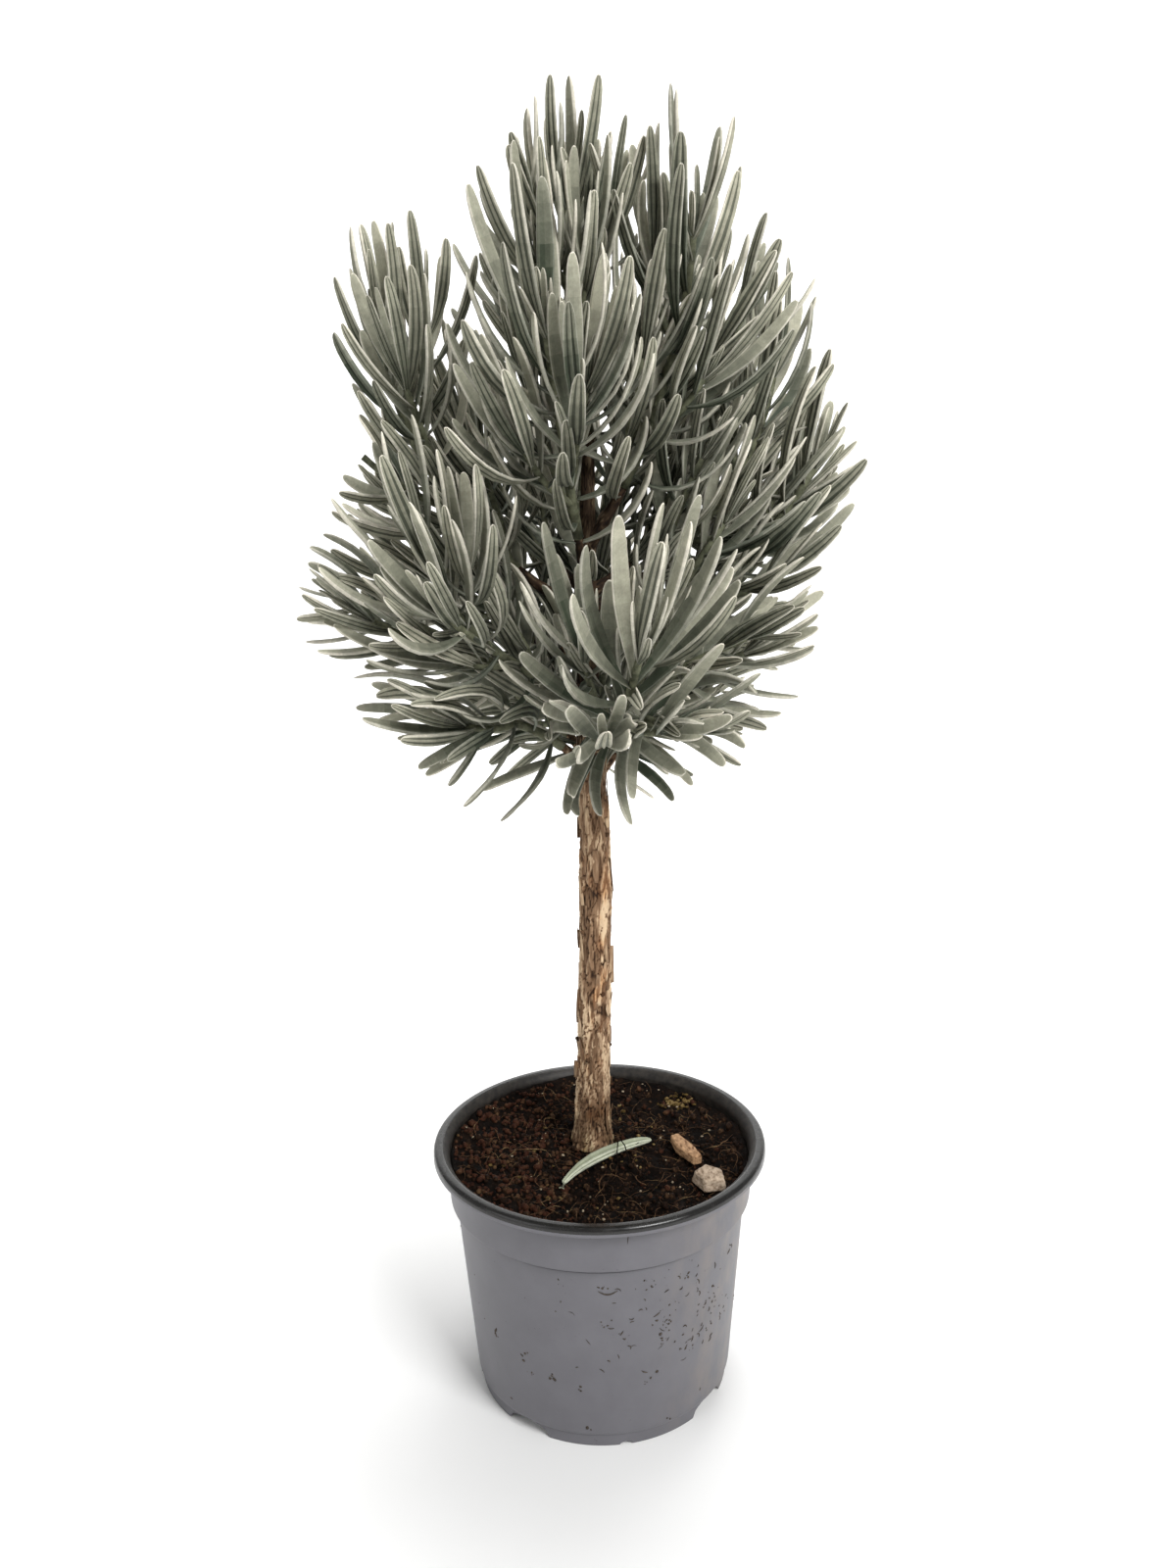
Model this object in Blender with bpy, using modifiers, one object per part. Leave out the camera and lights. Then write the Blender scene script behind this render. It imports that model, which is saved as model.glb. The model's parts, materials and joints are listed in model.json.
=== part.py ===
"""Potted standard lavender as closed solids: pot, peat, trunk, boughs and masses of foliage.

The origin is the middle of the pot's underside, +Z is up and the front of the plant faces -Y.
"""

import math
import random

import bmesh
import bpy
from mathutils import Matrix, Vector
from mathutils.bvhtree import BVHTree

MM = 0.001
UP = Vector((0.0, 0.0, 1.0))

# Clearance between solids that touch on the real plant
CLEAR = 0.3 * MM

# Pot: a moulded nursery pot, 14 cm across its rim
POT_HEIGHT = 107.6 * MM
RIM_RADIUS = 70.0 * MM
LIP_DEPTH = 4.0 * MM
WALL = 1.3 * MM
BASE_RADIUS = 54.9 * MM
SHOULDER_RADIUS = 61.0 * MM
SHOULDER_HEIGHT = 82.0 * MM
COLLAR_RADIUS = 63.6 * MM
COLLAR_HEIGHT = 86.0 * MM
COLLAR_FLARE = 0.9 * MM
BEAD_DEPTH = 2.2 * MM
BEAD_STEP = 0.5 * MM
FOOT_HEIGHT = 5.4 * MM
FOOT_RADIUS = 53.4 * MM
FOOT_WIDTH = 2.3 * MM
FLOOR_TOP = 7.2 * MM
FLOOR_UNDERSIDE = 5.6 * MM
PAD_RADIUS = 11.0 * MM
PAD_THICKNESS = 1.5 * MM
PAD_SLOPE = 0.29
EDGE = 0.5 * MM
LIP_STEPS = 6
COLLAR_STEPS = 4
POT_SEGMENTS = 36

# How the lip's arch is rounded on its inner and its outer half: 1 is an ellipse, less is squarer
LIP_POWERS = (1.3, 0.5)

# Arched notches through the foot ring, and the drain holes in the floor
NOTCH_COUNT = 4
NOTCH_START = 54.0
BIG_NOTCH = (20.0 * MM, 5.0 * MM)
SMALL_NOTCH = (5.0 * MM, 1.6 * MM)
DRAIN_COUNT = 4
DRAIN_RADIUS = 4.0 * MM
DRAIN_CIRCLE = 36.0 * MM
NOTCH_ROUNDING = 0.75
CUTTER_DEPTH = 10.0 * MM

# Peat: its level, and waves given by length, heading and height
SOIL_HEIGHT = 98.0 * MM
SOIL_RINGS = (0.24, 0.48, 0.72, 0.88)
SOIL_WAVES = ((57.0 * MM, 20.0, 0.6 * MM), (70.0 * MM, 100.0, 0.6 * MM), (22.0 * MM, 60.0, 0.4 * MM))
SEAT_RADIUS = 12.0 * MM
SEAT_FADE = 14.0 * MM

# How high the peat is heaped against the wall on its low and on its high side, which way the
# high side lies in degrees from +X, and how steeply it rises
HEAP_HEIGHTS = (2.0 * MM, 6.5 * MM)
HEAP_HEADING = 130.0
HEAP_POWER = 4

# Trunk: foot on the peat, lean, and radius at shares of its height
TRUNK_FOOT = Vector((-2.9 * MM, 10.6 * MM, SOIL_HEIGHT + CLEAR))
TRUNK_TIP = Vector((1.5 * MM, 5.0 * MM, 395.0 * MM))
TRUNK_BOW = 2.0 * MM
TRUNK_WAVES = 5.0
FLARE_SHARES = (0.0, 0.02, 0.06, 0.11)
SHAFT_START = 0.16
TRUNK_STATIONS = 10
TRUNK_SIDES = 10
TRUNK_TAPER = (
    (0.0, 9.0), (0.02, 8.1), (0.06, 7.3), (0.15, 6.7), (0.4, 6.1), (0.55, 5.6), (0.75, 4.0), (1.0, 2.2),
)

# Boughs: share of a limb's run that is bare, and radii at the trunk and at the tip
BOUGH_SHARE = 0.22
BOUGH_RADII = (2.7 * MM, 1.7 * MM)
BOUGH_STATIONS = 4
BOUGH_SIDES = 6

# How far back from its apex a limb's course starts to turn into the direction of its tip
TURN_SHARE = 0.5

# Masses of foliage, one shoot each with its side shoots. Azimuth is in degrees from +X,
# reach, apex height, height on the trunk and leaf length are in millimetres, tip slope is in
# degrees above the horizontal, and the last number counts the side shoots.
MASSES = (
    ("leader_right", -16, 42, 461, 352, 85, 57, 3),
    ("upper_front", 254, 44, 424, 338, 66, 56, 3),
    ("upper_left", 183, 74, 430, 326, 84, 50, 3),
    ("upper_right", 4, 72, 414, 328, 80, 46, 2),
    ("back_top", 60, 44, 428, 350, 80, 44, 2),
    ("back_upper_left", 134, 62, 400, 336, 74, 46, 2),
    ("back_upper_right", 46, 78, 408, 334, 70, 46, 2),
    ("right_outer", 3, 88, 380, 304, 58, 50, 2),
    ("mid_left", 215, 70, 352, 296, 68, 52, 2),
    ("low_left", 187, 93, 336, 281, 20, 40, 2),
    ("front_mid", 281, 84, 318, 288, 48, 58, 2),
    ("front_low", 293, 76, 290, 266, -18, 48, 2),
    ("right_low", 334, 66, 320, 278, 22, 46, 2),
    ("left_hang", 206, 62, 288, 263, -14, 50, 2),
    ("back_left", 148, 90, 366, 308, 54, 48, 2),
    ("back_right", 34, 92, 350, 298, 44, 48, 2),
    ("back_mid", 92, 84, 380, 316, 58, 50, 2),
    ("back_low_left", 128, 66, 288, 268, -4, 44, 2),
    ("back_low", 88, 80, 316, 284, 16, 46, 2),
    ("back_low_right", 36, 68, 290, 258, -6, 46, 2),
)
LEADER = ("leader", Vector((-4.8 * MM, 5.0 * MM, 473.0 * MM)), 88, 50, 4)
LEADER_DIRECTION = Vector((0.05, 0.0, 1.0)).normalized()

# Crown: its outline seen from the front, as height, reach to the left and reach to the right in
# millimetres, and its depth as a share of its width. No leaf's tip leaves it.
CROWN_AXIS_Y = 5.0 * MM
CROWN_DEPTH = 1.12
CROWN_OUTLINE = (
    (236, 20, 30), (248, 48, 52), (262, 78, 72), (284, 88, 78), (300, 104, 88), (332, 114, 88),
    (352, 106, 96), (368, 104, 104), (392, 84, 105), (416, 91, 95), (452, 90, 87), (470, 82, 70),
    (482, 38, 60), (500, 20, 62), (514, 19, 42), (519, 14, 16),
)

# Shoots: leaf pairs stand crosswise, closer together towards the apex
STEM_RADII = (2.0 * MM, 1.3 * MM)
TWIG_RADII = (1.5 * MM, 1.2 * MM)
TWIG_SIDES = 3
STEM_STATIONS = 4
TWIG_STATIONS = 3
STEM_PAIRS = 6
TWIG_PAIRS = 4
PAIR_STEP = 6.2 * MM
AGE_PAIRS = 7
FIRST_PAIR = 0.3
TWIG_SHARE = (0.42, 0.60)
TWIG_SPREAD = (34.0, 50.0)
TWIG_LEAF_SHARE = 0.84
TWIG_BARE_SHARE = 0.35
GOLDEN_TURN = 137.5
GOLDEN_JITTER = 25.0

# Side shoots: the first one's share of the stem and the step to the next, how much shorter they
# get towards the apex, how much of their direction is straight up for the lowest one and for the
# others, and how they turn up at the tip
SIDE_FIRST = 0.03
SIDE_STEP = 0.34
SIDE_SPAN = 0.8
SIDE_JITTER = (-0.02, 0.05)
SIDE_FALL = 0.5
LIFT_LOWEST = 1.3
LIFT_OTHERS = 0.15
TIP_LIFT = 0.3
TIP_SHARE = 0.25

# Leaves: angle from the shoot at the lowest and the highest pair, and how far they close in
OPEN_LOW = 72.0
OPEN_HIGH = 19.0
CLOSE_LOW = 50.0
CLOSE_HIGH = 17.0
OPEN_JITTER = 7.0
CLOSE_JITTER = (-6.0, 8.0)
AROUND_JITTER = 12.0
ROLL_JITTER = 22.0
LENGTH_JITTER = (0.86, 1.08)
WIDTH_JITTER = (0.9, 1.08)
LONGEST_AGE = 0.4
LENGTH_FALL = 0.4
OPENING_POWER = 0.8

# Sway: how far a leaf's end turns up or hangs, for young leaves and by the slope of its shoot
SWAY_YOUNG = 0.35
SWAY_JITTER = 0.12
SWAY_POWER = 0.7
LEVEL_SLOPE = 48.0
DROOP_RANGE = 55.0
DROOP_LIMITS = (-0.35, 0.95)

# A leaf's section and rings: station along the blade, share of the width, share of the thickness
LEAF_WIDTH = 7.6 * MM
LEAF_THICKNESS = 2.2 * MM
KEEL_SHARE = 0.65
LEAF_SINK = 0.4
LEAF_STEPS = 25
LEAF_RINGS = ((9, 0.90, 1.0), (22, 0.80, 0.70))
SHORT_LEAF_RINGS = ((14, 1.0, 1.0),)
BLADE_RINGS = ((4, 0.45, 0.5), (14, 0.95, 1.0), (22, 0.80, 0.70))
SHORT_LEAF = 48.0 * MM
# Turn, lean and shrink of the tries that a leaf gets to fit in its mass's own space
RETRIES = (
    (0, 0, 1.0), (16, 0, 1.0), (-16, 0, 1.0), (0, -12, 0.92), (30, -6, 0.85), (-30, -6, 0.85), (0, 8, 0.72),
)

# Wood chips on the peat: how much smaller their top is, how uneven their corners are and how
# much of their edges is broken off, then length, width, thickness, place, turn and corners of each
CHIP_TAPER = 0.88
CHIP_JITTER = 0.06
CHIP_BEVEL = 0.12
CHIPS = (
    ("wood_chip_long", 25.0 * MM, 8.0 * MM, 3.8 * MM, (36.6 * MM, -1.5 * MM), -66.0, 6),
    ("wood_chip_short", 17.5 * MM, 13.0 * MM, 5.4 * MM, (44.3 * MM, -26.0 * MM), -62.0, 5),
)

# A leaf that has dropped on the peat
FALLEN_START = Vector((-15.8 * MM, -28.1 * MM, 0.0))
FALLEN_TURN = 42.6
FALLEN_BEND = 56.0
FALLEN_LEAD = 0.5
FALLEN_WIDTH = 5.8 * MM
FALLEN_LENGTH = 55.5 * MM
FALLEN_RINGS = ((1, 0.45, 0.8), (6, 0.95, 1.0), (13, 1.0, 1.0), (20, 0.85, 0.9))

# Space kept round a twig or leaf when its place is tested, the part of a course that is looked
# along for its direction, the samples taken along a piece's edges to set it down, and the angle
# in degrees up to which faces count as flat
MARGIN = 1.5 * CLEAR
LOOK = 0.02
EDGE_SAMPLES = 6
FLAT = 0.2

FINISHES = {
    "pot": ((0.20, 0.20, 0.21), 0.50),
    "soil": ((0.035, 0.020, 0.013), 0.95),
    "bark": ((0.27, 0.17, 0.095), 0.85),
    "leaf": ((0.25, 0.26, 0.20), 0.80),
    "chip": ((0.45, 0.32, 0.20), 0.85),
}


# Collections, materials and meshes

def clear_scene():
    for obj in list(bpy.data.objects):
        bpy.data.objects.remove(obj, do_unlink=True)


def new_collection(name):
    collection = bpy.data.collections.new(name)
    bpy.context.scene.collection.children.link(collection)
    return collection


def finish(obj, kind):
    colour, roughness = FINISHES[kind]
    material = bpy.data.materials.new(obj.name + "_" + kind)
    material.use_nodes = True
    shader = material.node_tree.nodes["Principled BSDF"]
    shader.inputs["Base Color"].default_value = (*colour, 1.0)
    shader.inputs["Roughness"].default_value = roughness
    shader.inputs["Metallic"].default_value = 0.0
    obj.data.materials.clear()
    obj.data.materials.append(material)


def smooth(obj, degrees=35.0):
    obj.data.shade_smooth()
    obj.data.set_sharp_from_angle(angle=math.radians(degrees))


def mesh_object(name, points, faces, collection):
    mesh = bpy.data.meshes.new(name)
    mesh.from_pydata([tuple(point) for point in points], [], faces)
    mesh.validate()
    obj = bpy.data.objects.new(name, mesh)
    collection.objects.link(obj)
    return obj


def applied(obj):
    """Replaces an object's mesh by its evaluated one and drops the modifiers."""
    graph = bpy.context.evaluated_depsgraph_get()
    mesh = bpy.data.meshes.new_from_object(obj.evaluated_get(graph))
    old = obj.data
    obj.modifiers.clear()
    obj.data = mesh
    bpy.data.meshes.remove(old)
    return obj


def as_cutter(obj):
    obj.display_type = "WIRE"
    obj.hide_render = True
    return obj


def turned(name, profile, collection):
    """A solid of revolution from (radius, height) points that run down its outer side."""
    points = [(radius, 0.0, height) for radius, height in profile]
    mesh = bpy.data.meshes.new(name)
    mesh.from_pydata(points, [(k, k + 1) for k in range(len(points) - 1)], [])
    obj = bpy.data.objects.new(name, mesh)
    collection.objects.link(obj)
    screw = obj.modifiers.new("Turn", "SCREW")
    screw.axis = "Z"
    screw.steps = POT_SEGMENTS
    screw.render_steps = POT_SEGMENTS
    screw.use_merge_vertices = True
    screw.merge_threshold = 0.00001
    return obj


def cut(obj, cutter, solver="EXACT"):
    boolean = obj.modifiers.new("Cut " + cutter.name, "BOOLEAN")
    boolean.operation = "DIFFERENCE"
    boolean.solver = solver
    boolean.object = cutter


def lerp(low, high, share):
    return low + (high - low) * share


def interpolated(table, share):
    for (s0, v0), (s1, v1) in zip(table, table[1:]):
        if share <= s1:
            return lerp(v0, v1, (share - s0) / (s1 - s0))
    return table[-1][1]


# Pot

def outer_radius(height):
    """Radius of the pot's wall outside, over the foot and under the lip."""
    if height >= COLLAR_HEIGHT:
        top = POT_HEIGHT - LIP_DEPTH
        return COLLAR_RADIUS + COLLAR_FLARE * (height - COLLAR_HEIGHT) / (top - COLLAR_HEIGHT)
    if height >= SHOULDER_HEIGHT:
        share = (height - SHOULDER_HEIGHT) / (COLLAR_HEIGHT - SHOULDER_HEIGHT)
        return lerp(SHOULDER_RADIUS, COLLAR_RADIUS, share)
    return lerp(BASE_RADIUS, SHOULDER_RADIUS, (height - FLOOR_TOP) / (SHOULDER_HEIGHT - FLOOR_TOP))


def inner_profile(gap, top):
    """The pot's inside from the middle of the floor up to a height, drawn in by a gap."""
    pad = PAD_RADIUS - WALL - gap
    low = PAD_THICKNESS + gap
    points = [(0.0, low), (pad, low), (pad + PAD_SLOPE * (FLOOR_TOP - PAD_THICKNESS), FLOOR_TOP + gap)]
    for height in (FLOOR_TOP + gap, SHOULDER_HEIGHT, COLLAR_HEIGHT, top):
        points.append((outer_radius(height) - WALL - gap, height))
    return points


def lip_section(inner, under):
    """The rolled lip: an arch from the wall's inside to the lip's lower edge."""
    middle = 0.5 * (inner + RIM_RADIUS)
    half = 0.5 * (RIM_RADIUS - inner)
    points = []
    for k in range(1, LIP_STEPS + 1):
        angle = math.pi * (1.0 - k / LIP_STEPS)
        power = LIP_POWERS[0] if math.cos(angle) < 0.0 else LIP_POWERS[1]
        across = math.copysign(abs(math.cos(angle)) ** power, math.cos(angle))
        up = max(math.sin(angle), 0.0) ** power
        points.append((middle + half * across, under + LIP_DEPTH * up))
    return points


def collar_section():
    """The step from the collar down to the wall, as a soft S."""
    points = []
    for k in range(COLLAR_STEPS + 1):
        share = k / COLLAR_STEPS
        soft = share * share * (3.0 - 2.0 * share)
        height = lerp(COLLAR_HEIGHT, SHOULDER_HEIGHT, share)
        points.append((lerp(COLLAR_RADIUS, SHOULDER_RADIUS, soft), height))
    return points


def pot_profile():
    """The pot's section from the middle of the floor up its inside, over the lip and down outside."""
    under = POT_HEIGHT - LIP_DEPTH
    bead = under - BEAD_DEPTH
    foot_in = FOOT_RADIUS - FOOT_WIDTH
    points = inner_profile(0.0, under)
    points += lip_section(outer_radius(under) - WALL, under)
    points += [(outer_radius(under) + BEAD_STEP, under), (outer_radius(bead) + BEAD_STEP, bead)]
    points.append((outer_radius(bead), bead - EDGE))
    points += collar_section()
    points += [(BASE_RADIUS, FLOOR_TOP), (BASE_RADIUS - EDGE, FOOT_HEIGHT + EDGE)]
    points += [(FOOT_RADIUS, FOOT_HEIGHT), (FOOT_RADIUS, EDGE), (FOOT_RADIUS - EDGE, 0.0)]
    points += [(foot_in, 0.0), (foot_in, FLOOR_UNDERSIDE)]
    points += [(PAD_RADIUS + PAD_SLOPE * FLOOR_UNDERSIDE, FLOOR_UNDERSIDE), (PAD_RADIUS, 0.0), (0.0, 0.0)]
    return points


def notch_cutter(index, width, height, cutters):
    """An arch through the foot ring: a bar with its two upper edges rounded off."""
    angle = math.radians(NOTCH_START + index * 180.0 / NOTCH_COUNT)
    form = bmesh.new()
    bmesh.ops.create_cube(form, size=1.0)
    bmesh.ops.scale(form, verts=form.verts, vec=(CUTTER_DEPTH, width, 2.0 * height))
    upper = [edge for edge in form.edges if all(v.co.z > 0 for v in edge.verts)]
    across = [edge for edge in upper if abs(edge.verts[0].co.x - edge.verts[1].co.x) > 0.5 * CUTTER_DEPTH]
    rounding = NOTCH_ROUNDING * height
    bmesh.ops.bevel(form, geom=across, offset=rounding, segments=2, profile=0.5, affect="EDGES")
    mesh = bpy.data.meshes.new("notch_%d" % index)
    form.to_mesh(mesh)
    form.free()
    obj = bpy.data.objects.new("notch_%d" % index, mesh)
    obj.location = (FOOT_RADIUS * math.cos(angle), FOOT_RADIUS * math.sin(angle), 0.0)
    obj.rotation_euler = (0.0, 0.0, angle)
    cutters.objects.link(obj)
    return as_cutter(obj)


def drain_cutter(index, cutters):
    angle = 2.0 * math.pi * (index + 0.5) / DRAIN_COUNT
    form = bmesh.new()
    wide = DRAIN_RADIUS
    bmesh.ops.create_cone(form, cap_ends=True, segments=8, radius1=wide, radius2=wide, depth=CUTTER_DEPTH)
    mesh = bpy.data.meshes.new("drain_%d" % index)
    form.to_mesh(mesh)
    form.free()
    obj = bpy.data.objects.new("drain_%d" % index, mesh)
    obj.location = (DRAIN_CIRCLE * math.cos(angle), DRAIN_CIRCLE * math.sin(angle), FLOOR_TOP)
    cutters.objects.link(obj)
    return as_cutter(obj)


def make_pot(parts, cutters):
    pot = turned("pot", pot_profile(), parts)
    for index in range(2 * NOTCH_COUNT):
        width, height = SMALL_NOTCH if index % 2 else BIG_NOTCH
        cut(pot, notch_cutter(index, width, height, cutters), "MANIFOLD")
    for index in range(DRAIN_COUNT):
        cut(pot, drain_cutter(index, cutters), "MANIFOLD")
    applied(pot)
    finish(pot, "pot")
    smooth(pot)


# Peat

def soil_level(x, y):
    """Height of the peat's surface: low waves, a flat seat round the trunk and a heap at the wall."""
    waves = 0.0
    for length, heading, height in SOIL_WAVES:
        turn = math.radians(heading)
        along = x * math.cos(turn) + y * math.sin(turn)
        waves += height * math.sin(2.0 * math.pi * along / length + turn)
    away = math.hypot(x - TRUNK_FOOT.x, y - TRUNK_FOOT.y)
    waves *= min(max((away - SEAT_RADIUS) / SEAT_FADE, 0.0), 1.0)
    side = 0.5 + 0.5 * math.cos(math.atan2(y, x) - math.radians(HEAP_HEADING))
    heap = lerp(*HEAP_HEIGHTS, side) * (math.hypot(x, y) / COLLAR_RADIUS) ** HEAP_POWER
    return SOIL_HEIGHT + waves + heap


def make_soil(parts):
    inside = inner_profile(CLEAR, SOIL_HEIGHT)
    edge = inside[-1][0]
    profile = [(0.0, SOIL_HEIGHT)] + [(edge * share, SOIL_HEIGHT) for share in SOIL_RINGS]
    profile += list(reversed(inside))
    soil = applied(turned("soil", profile, parts))
    for vertex in soil.data.vertices:
        at = vertex.co
        if at.z > SOIL_HEIGHT - EDGE:
            at.z = soil_level(at.x, at.y)
    finish(soil, "soil")
    smooth(soil, 60.0)
    return soil


# Trunk and boughs

def limb(name, points, radii, sides, collection):
    """A tapering limb: a curve swept with a round section of few sides, caps filled."""
    ring = bpy.data.curves.new(name + "_section", "CURVE")
    ring.dimensions = "2D"
    loop = ring.splines.new("POLY")
    loop.points.add(sides - 1)
    for k in range(sides):
        angle = 2.0 * math.pi * k / sides
        loop.points[k].co = (math.cos(angle), math.sin(angle), 0.0, 1.0)
    loop.use_cyclic_u = True
    section = bpy.data.objects.new(name + "_section", ring)
    curve = bpy.data.curves.new(name, "CURVE")
    curve.dimensions = "3D"
    curve.bevel_mode = "OBJECT"
    curve.bevel_object = section
    curve.use_fill_caps = True
    line = curve.splines.new("POLY")
    line.points.add(len(points) - 1)
    for spot, point, radius in zip(line.points, points, radii):
        spot.co = (*point, 1.0)
        spot.radius = radius
    swept = bpy.data.objects.new(name + "_curve", curve)
    collection.objects.link(section)
    collection.objects.link(swept)
    graph = bpy.context.evaluated_depsgraph_get()
    mesh = bpy.data.meshes.new_from_object(swept.evaluated_get(graph))
    form = bmesh.new()
    form.from_mesh(mesh)
    bmesh.ops.remove_doubles(form, verts=form.verts, dist=0.001 * MM)
    bmesh.ops.recalc_face_normals(form, faces=form.faces)
    form.to_mesh(mesh)
    form.free()
    obj = bpy.data.objects.new(name, mesh)
    obj.matrix_world = swept.matrix_world
    collection.objects.link(obj)
    bpy.data.objects.remove(swept, do_unlink=True)
    bpy.data.objects.remove(section, do_unlink=True)
    return obj


def trunk_point(share):
    point = TRUNK_FOOT.lerp(TRUNK_TIP, share)
    point.x += TRUNK_BOW * math.sin(math.pi * share) * math.sin(TRUNK_WAVES * share)
    return point


def trunk_radius(share):
    return interpolated(TRUNK_TAPER, share) * MM


def trunk_share(height):
    return (height - TRUNK_FOOT.z) / (TRUNK_TIP.z - TRUNK_FOOT.z)


def trunk_shares():
    """Stations crowd at the flared foot."""
    shaft = [lerp(SHAFT_START, 1.0, k / (TRUNK_STATIONS - 1)) for k in range(TRUNK_STATIONS)]
    return list(FLARE_SHARES) + shaft


def make_trunk(parts):
    shares = trunk_shares()
    points = [trunk_point(share) for share in shares]
    trunk = limb("trunk", points, [trunk_radius(share) for share in shares], TRUNK_SIDES, parts)
    finish(trunk, "bark")
    smooth(trunk)
    return trunk


def trunk_sleeve(cutters):
    """The trunk grown by the clearance, to cut the boughs' feet to it."""
    shares = trunk_shares()
    points = [trunk_point(share) for share in shares]
    radii = [trunk_radius(share) + CLEAR for share in shares]
    return as_cutter(limb("trunk_sleeve", points, radii, TRUNK_SIDES, cutters))


def outward(azimuth, slope):
    azimuth = math.radians(azimuth)
    slope = math.radians(slope)
    flat = Vector((math.cos(azimuth), math.sin(azimuth), 0.0))
    return flat * math.cos(slope) + UP * math.sin(slope)


def limb_run(foot, apex, tip_direction):
    """A limb's course from the trunk to its apex, as a curve that turns into the tip's direction."""
    bend = apex - tip_direction * TURN_SHARE * (apex - foot).length

    def at(share):
        return foot.lerp(bend, share).lerp(bend.lerp(apex, share), share)
    return at


def mass_run(row):
    azimuth, reach, height, foot_height, slope = row[1:6]
    foot = trunk_point(trunk_share(foot_height * MM))
    apex = Vector((0.0, CROWN_AXIS_Y, height * MM)) + outward(azimuth, 0.0) * reach * MM
    return limb_run(foot, apex, outward(azimuth, slope))


def make_bough(row, parts, sleeve):
    run = mass_run(row)
    points = stations(lambda share: run(BOUGH_SHARE * share), BOUGH_STATIONS)
    bough = limb("bough_" + row[0], points, tapered(BOUGH_RADII, BOUGH_STATIONS), BOUGH_SIDES, parts)
    cut(bough, sleeve)
    applied(bough)
    finish(bough, "bark")
    smooth(bough)
    return bough


# Solids of twigs and leaves, as points and triangles

def lofted(rings, root=None, tip=None):
    """Skins equal rings of points. Each end is capped, or closed to the point given for it."""
    count = len(rings[0])
    points = [point for ring in rings for point in ring]
    if root is None:
        faces = [(0, k + 1, k) for k in range(1, count - 1)]
    else:
        points.append(root)
        faces = [((k + 1) % count, k, len(points) - 1) for k in range(count)]
    for level in range(len(rings) - 1):
        low = level * count
        high = low + count
        for k in range(count):
            after = (k + 1) % count
            faces.append((low + k, low + after, high + after))
            faces.append((low + k, high + after, high + k))
    last = (len(rings) - 1) * count
    if tip is None:
        faces += [(last, last + k, last + k + 1) for k in range(1, count - 1)]
    else:
        points.append(tip)
        faces += [(last + k, last + (k + 1) % count, len(points) - 1) for k in range(count)]
    return points, faces


def crosswise(direction):
    side = direction.cross(UP)
    if side.length < 0.05:
        side = direction.cross(Vector((0.0, 1.0, 0.0)))
    return side.normalized()


def twig_solid(points, radii, grow=0.0):
    rings = []
    side = crosswise(points[1] - points[0])
    for k, (point, radius) in enumerate(zip(points, radii)):
        ahead = (points[min(k + 1, len(points) - 1)] - points[max(k - 1, 0)]).normalized()
        side = (side - ahead * side.dot(ahead)).normalized()
        over = ahead.cross(side)
        ring = []
        for corner in range(TWIG_SIDES):
            angle = 2.0 * math.pi * corner / TWIG_SIDES
            ring.append(point + (side * math.cos(angle) + over * math.sin(angle)) * (radius + grow))
        rings.append(ring)
    return lofted(rings)


def leaf_line(leaf):
    """Points and directions down the middle of a leaf that opens from its shoot and bends back to it."""
    line = []
    point = leaf["root"].copy()
    for step in range(LEAF_STEPS + 1):
        share = step / LEAF_STEPS
        angle = math.radians(leaf["opening"] - leaf["closing"] * share)
        ahead = leaf["axis"] * math.cos(angle) + leaf["out"] * math.sin(angle) + UP * leaf["sway"] * share
        ahead.normalize()
        line.append((point.copy(), ahead))
        point += ahead * (leaf["length"] / LEAF_STEPS)
    return line


def leaf_solid(leaf, grow=0.0, blade_only=False):
    """A blade with a three-sided section: flat on the side of its shoot and keeled on the other."""
    line = leaf_line(leaf)
    sections = BLADE_RINGS if blade_only else leaf["rings"]
    across = leaf["axis"].cross(leaf["out"]).normalized()
    rings = []
    for step, width, depth in sections:
        point, ahead = line[step]
        side = Matrix.Rotation(leaf["roll"], 3, ahead) @ across
        face = side.cross(ahead).normalized()
        if face.dot(leaf["out"]) > 0.0:
            face = -face
        half = 0.5 * leaf["width"] * width + 1.5 * grow
        deep = LEAF_THICKNESS * depth
        keel = point - face * (KEEL_SHARE * deep + grow)
        rim = point + face * ((1.0 - KEEL_SHARE) * deep + grow)
        ring = [rim + side * half, rim - side * half, keel]
        if (ring[1] - ring[0]).cross(ring[2] - ring[0]).dot(ahead) < 0.0:
            ring = [ring[1], ring[0], ring[2]]
        rings.append(ring)
    end, ahead = line[-1]
    if blade_only:
        return lofted(rings, tip=end)
    return lofted(rings, leaf["sunk"], end + ahead * grow)


# The rule that shoots grow by

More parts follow.
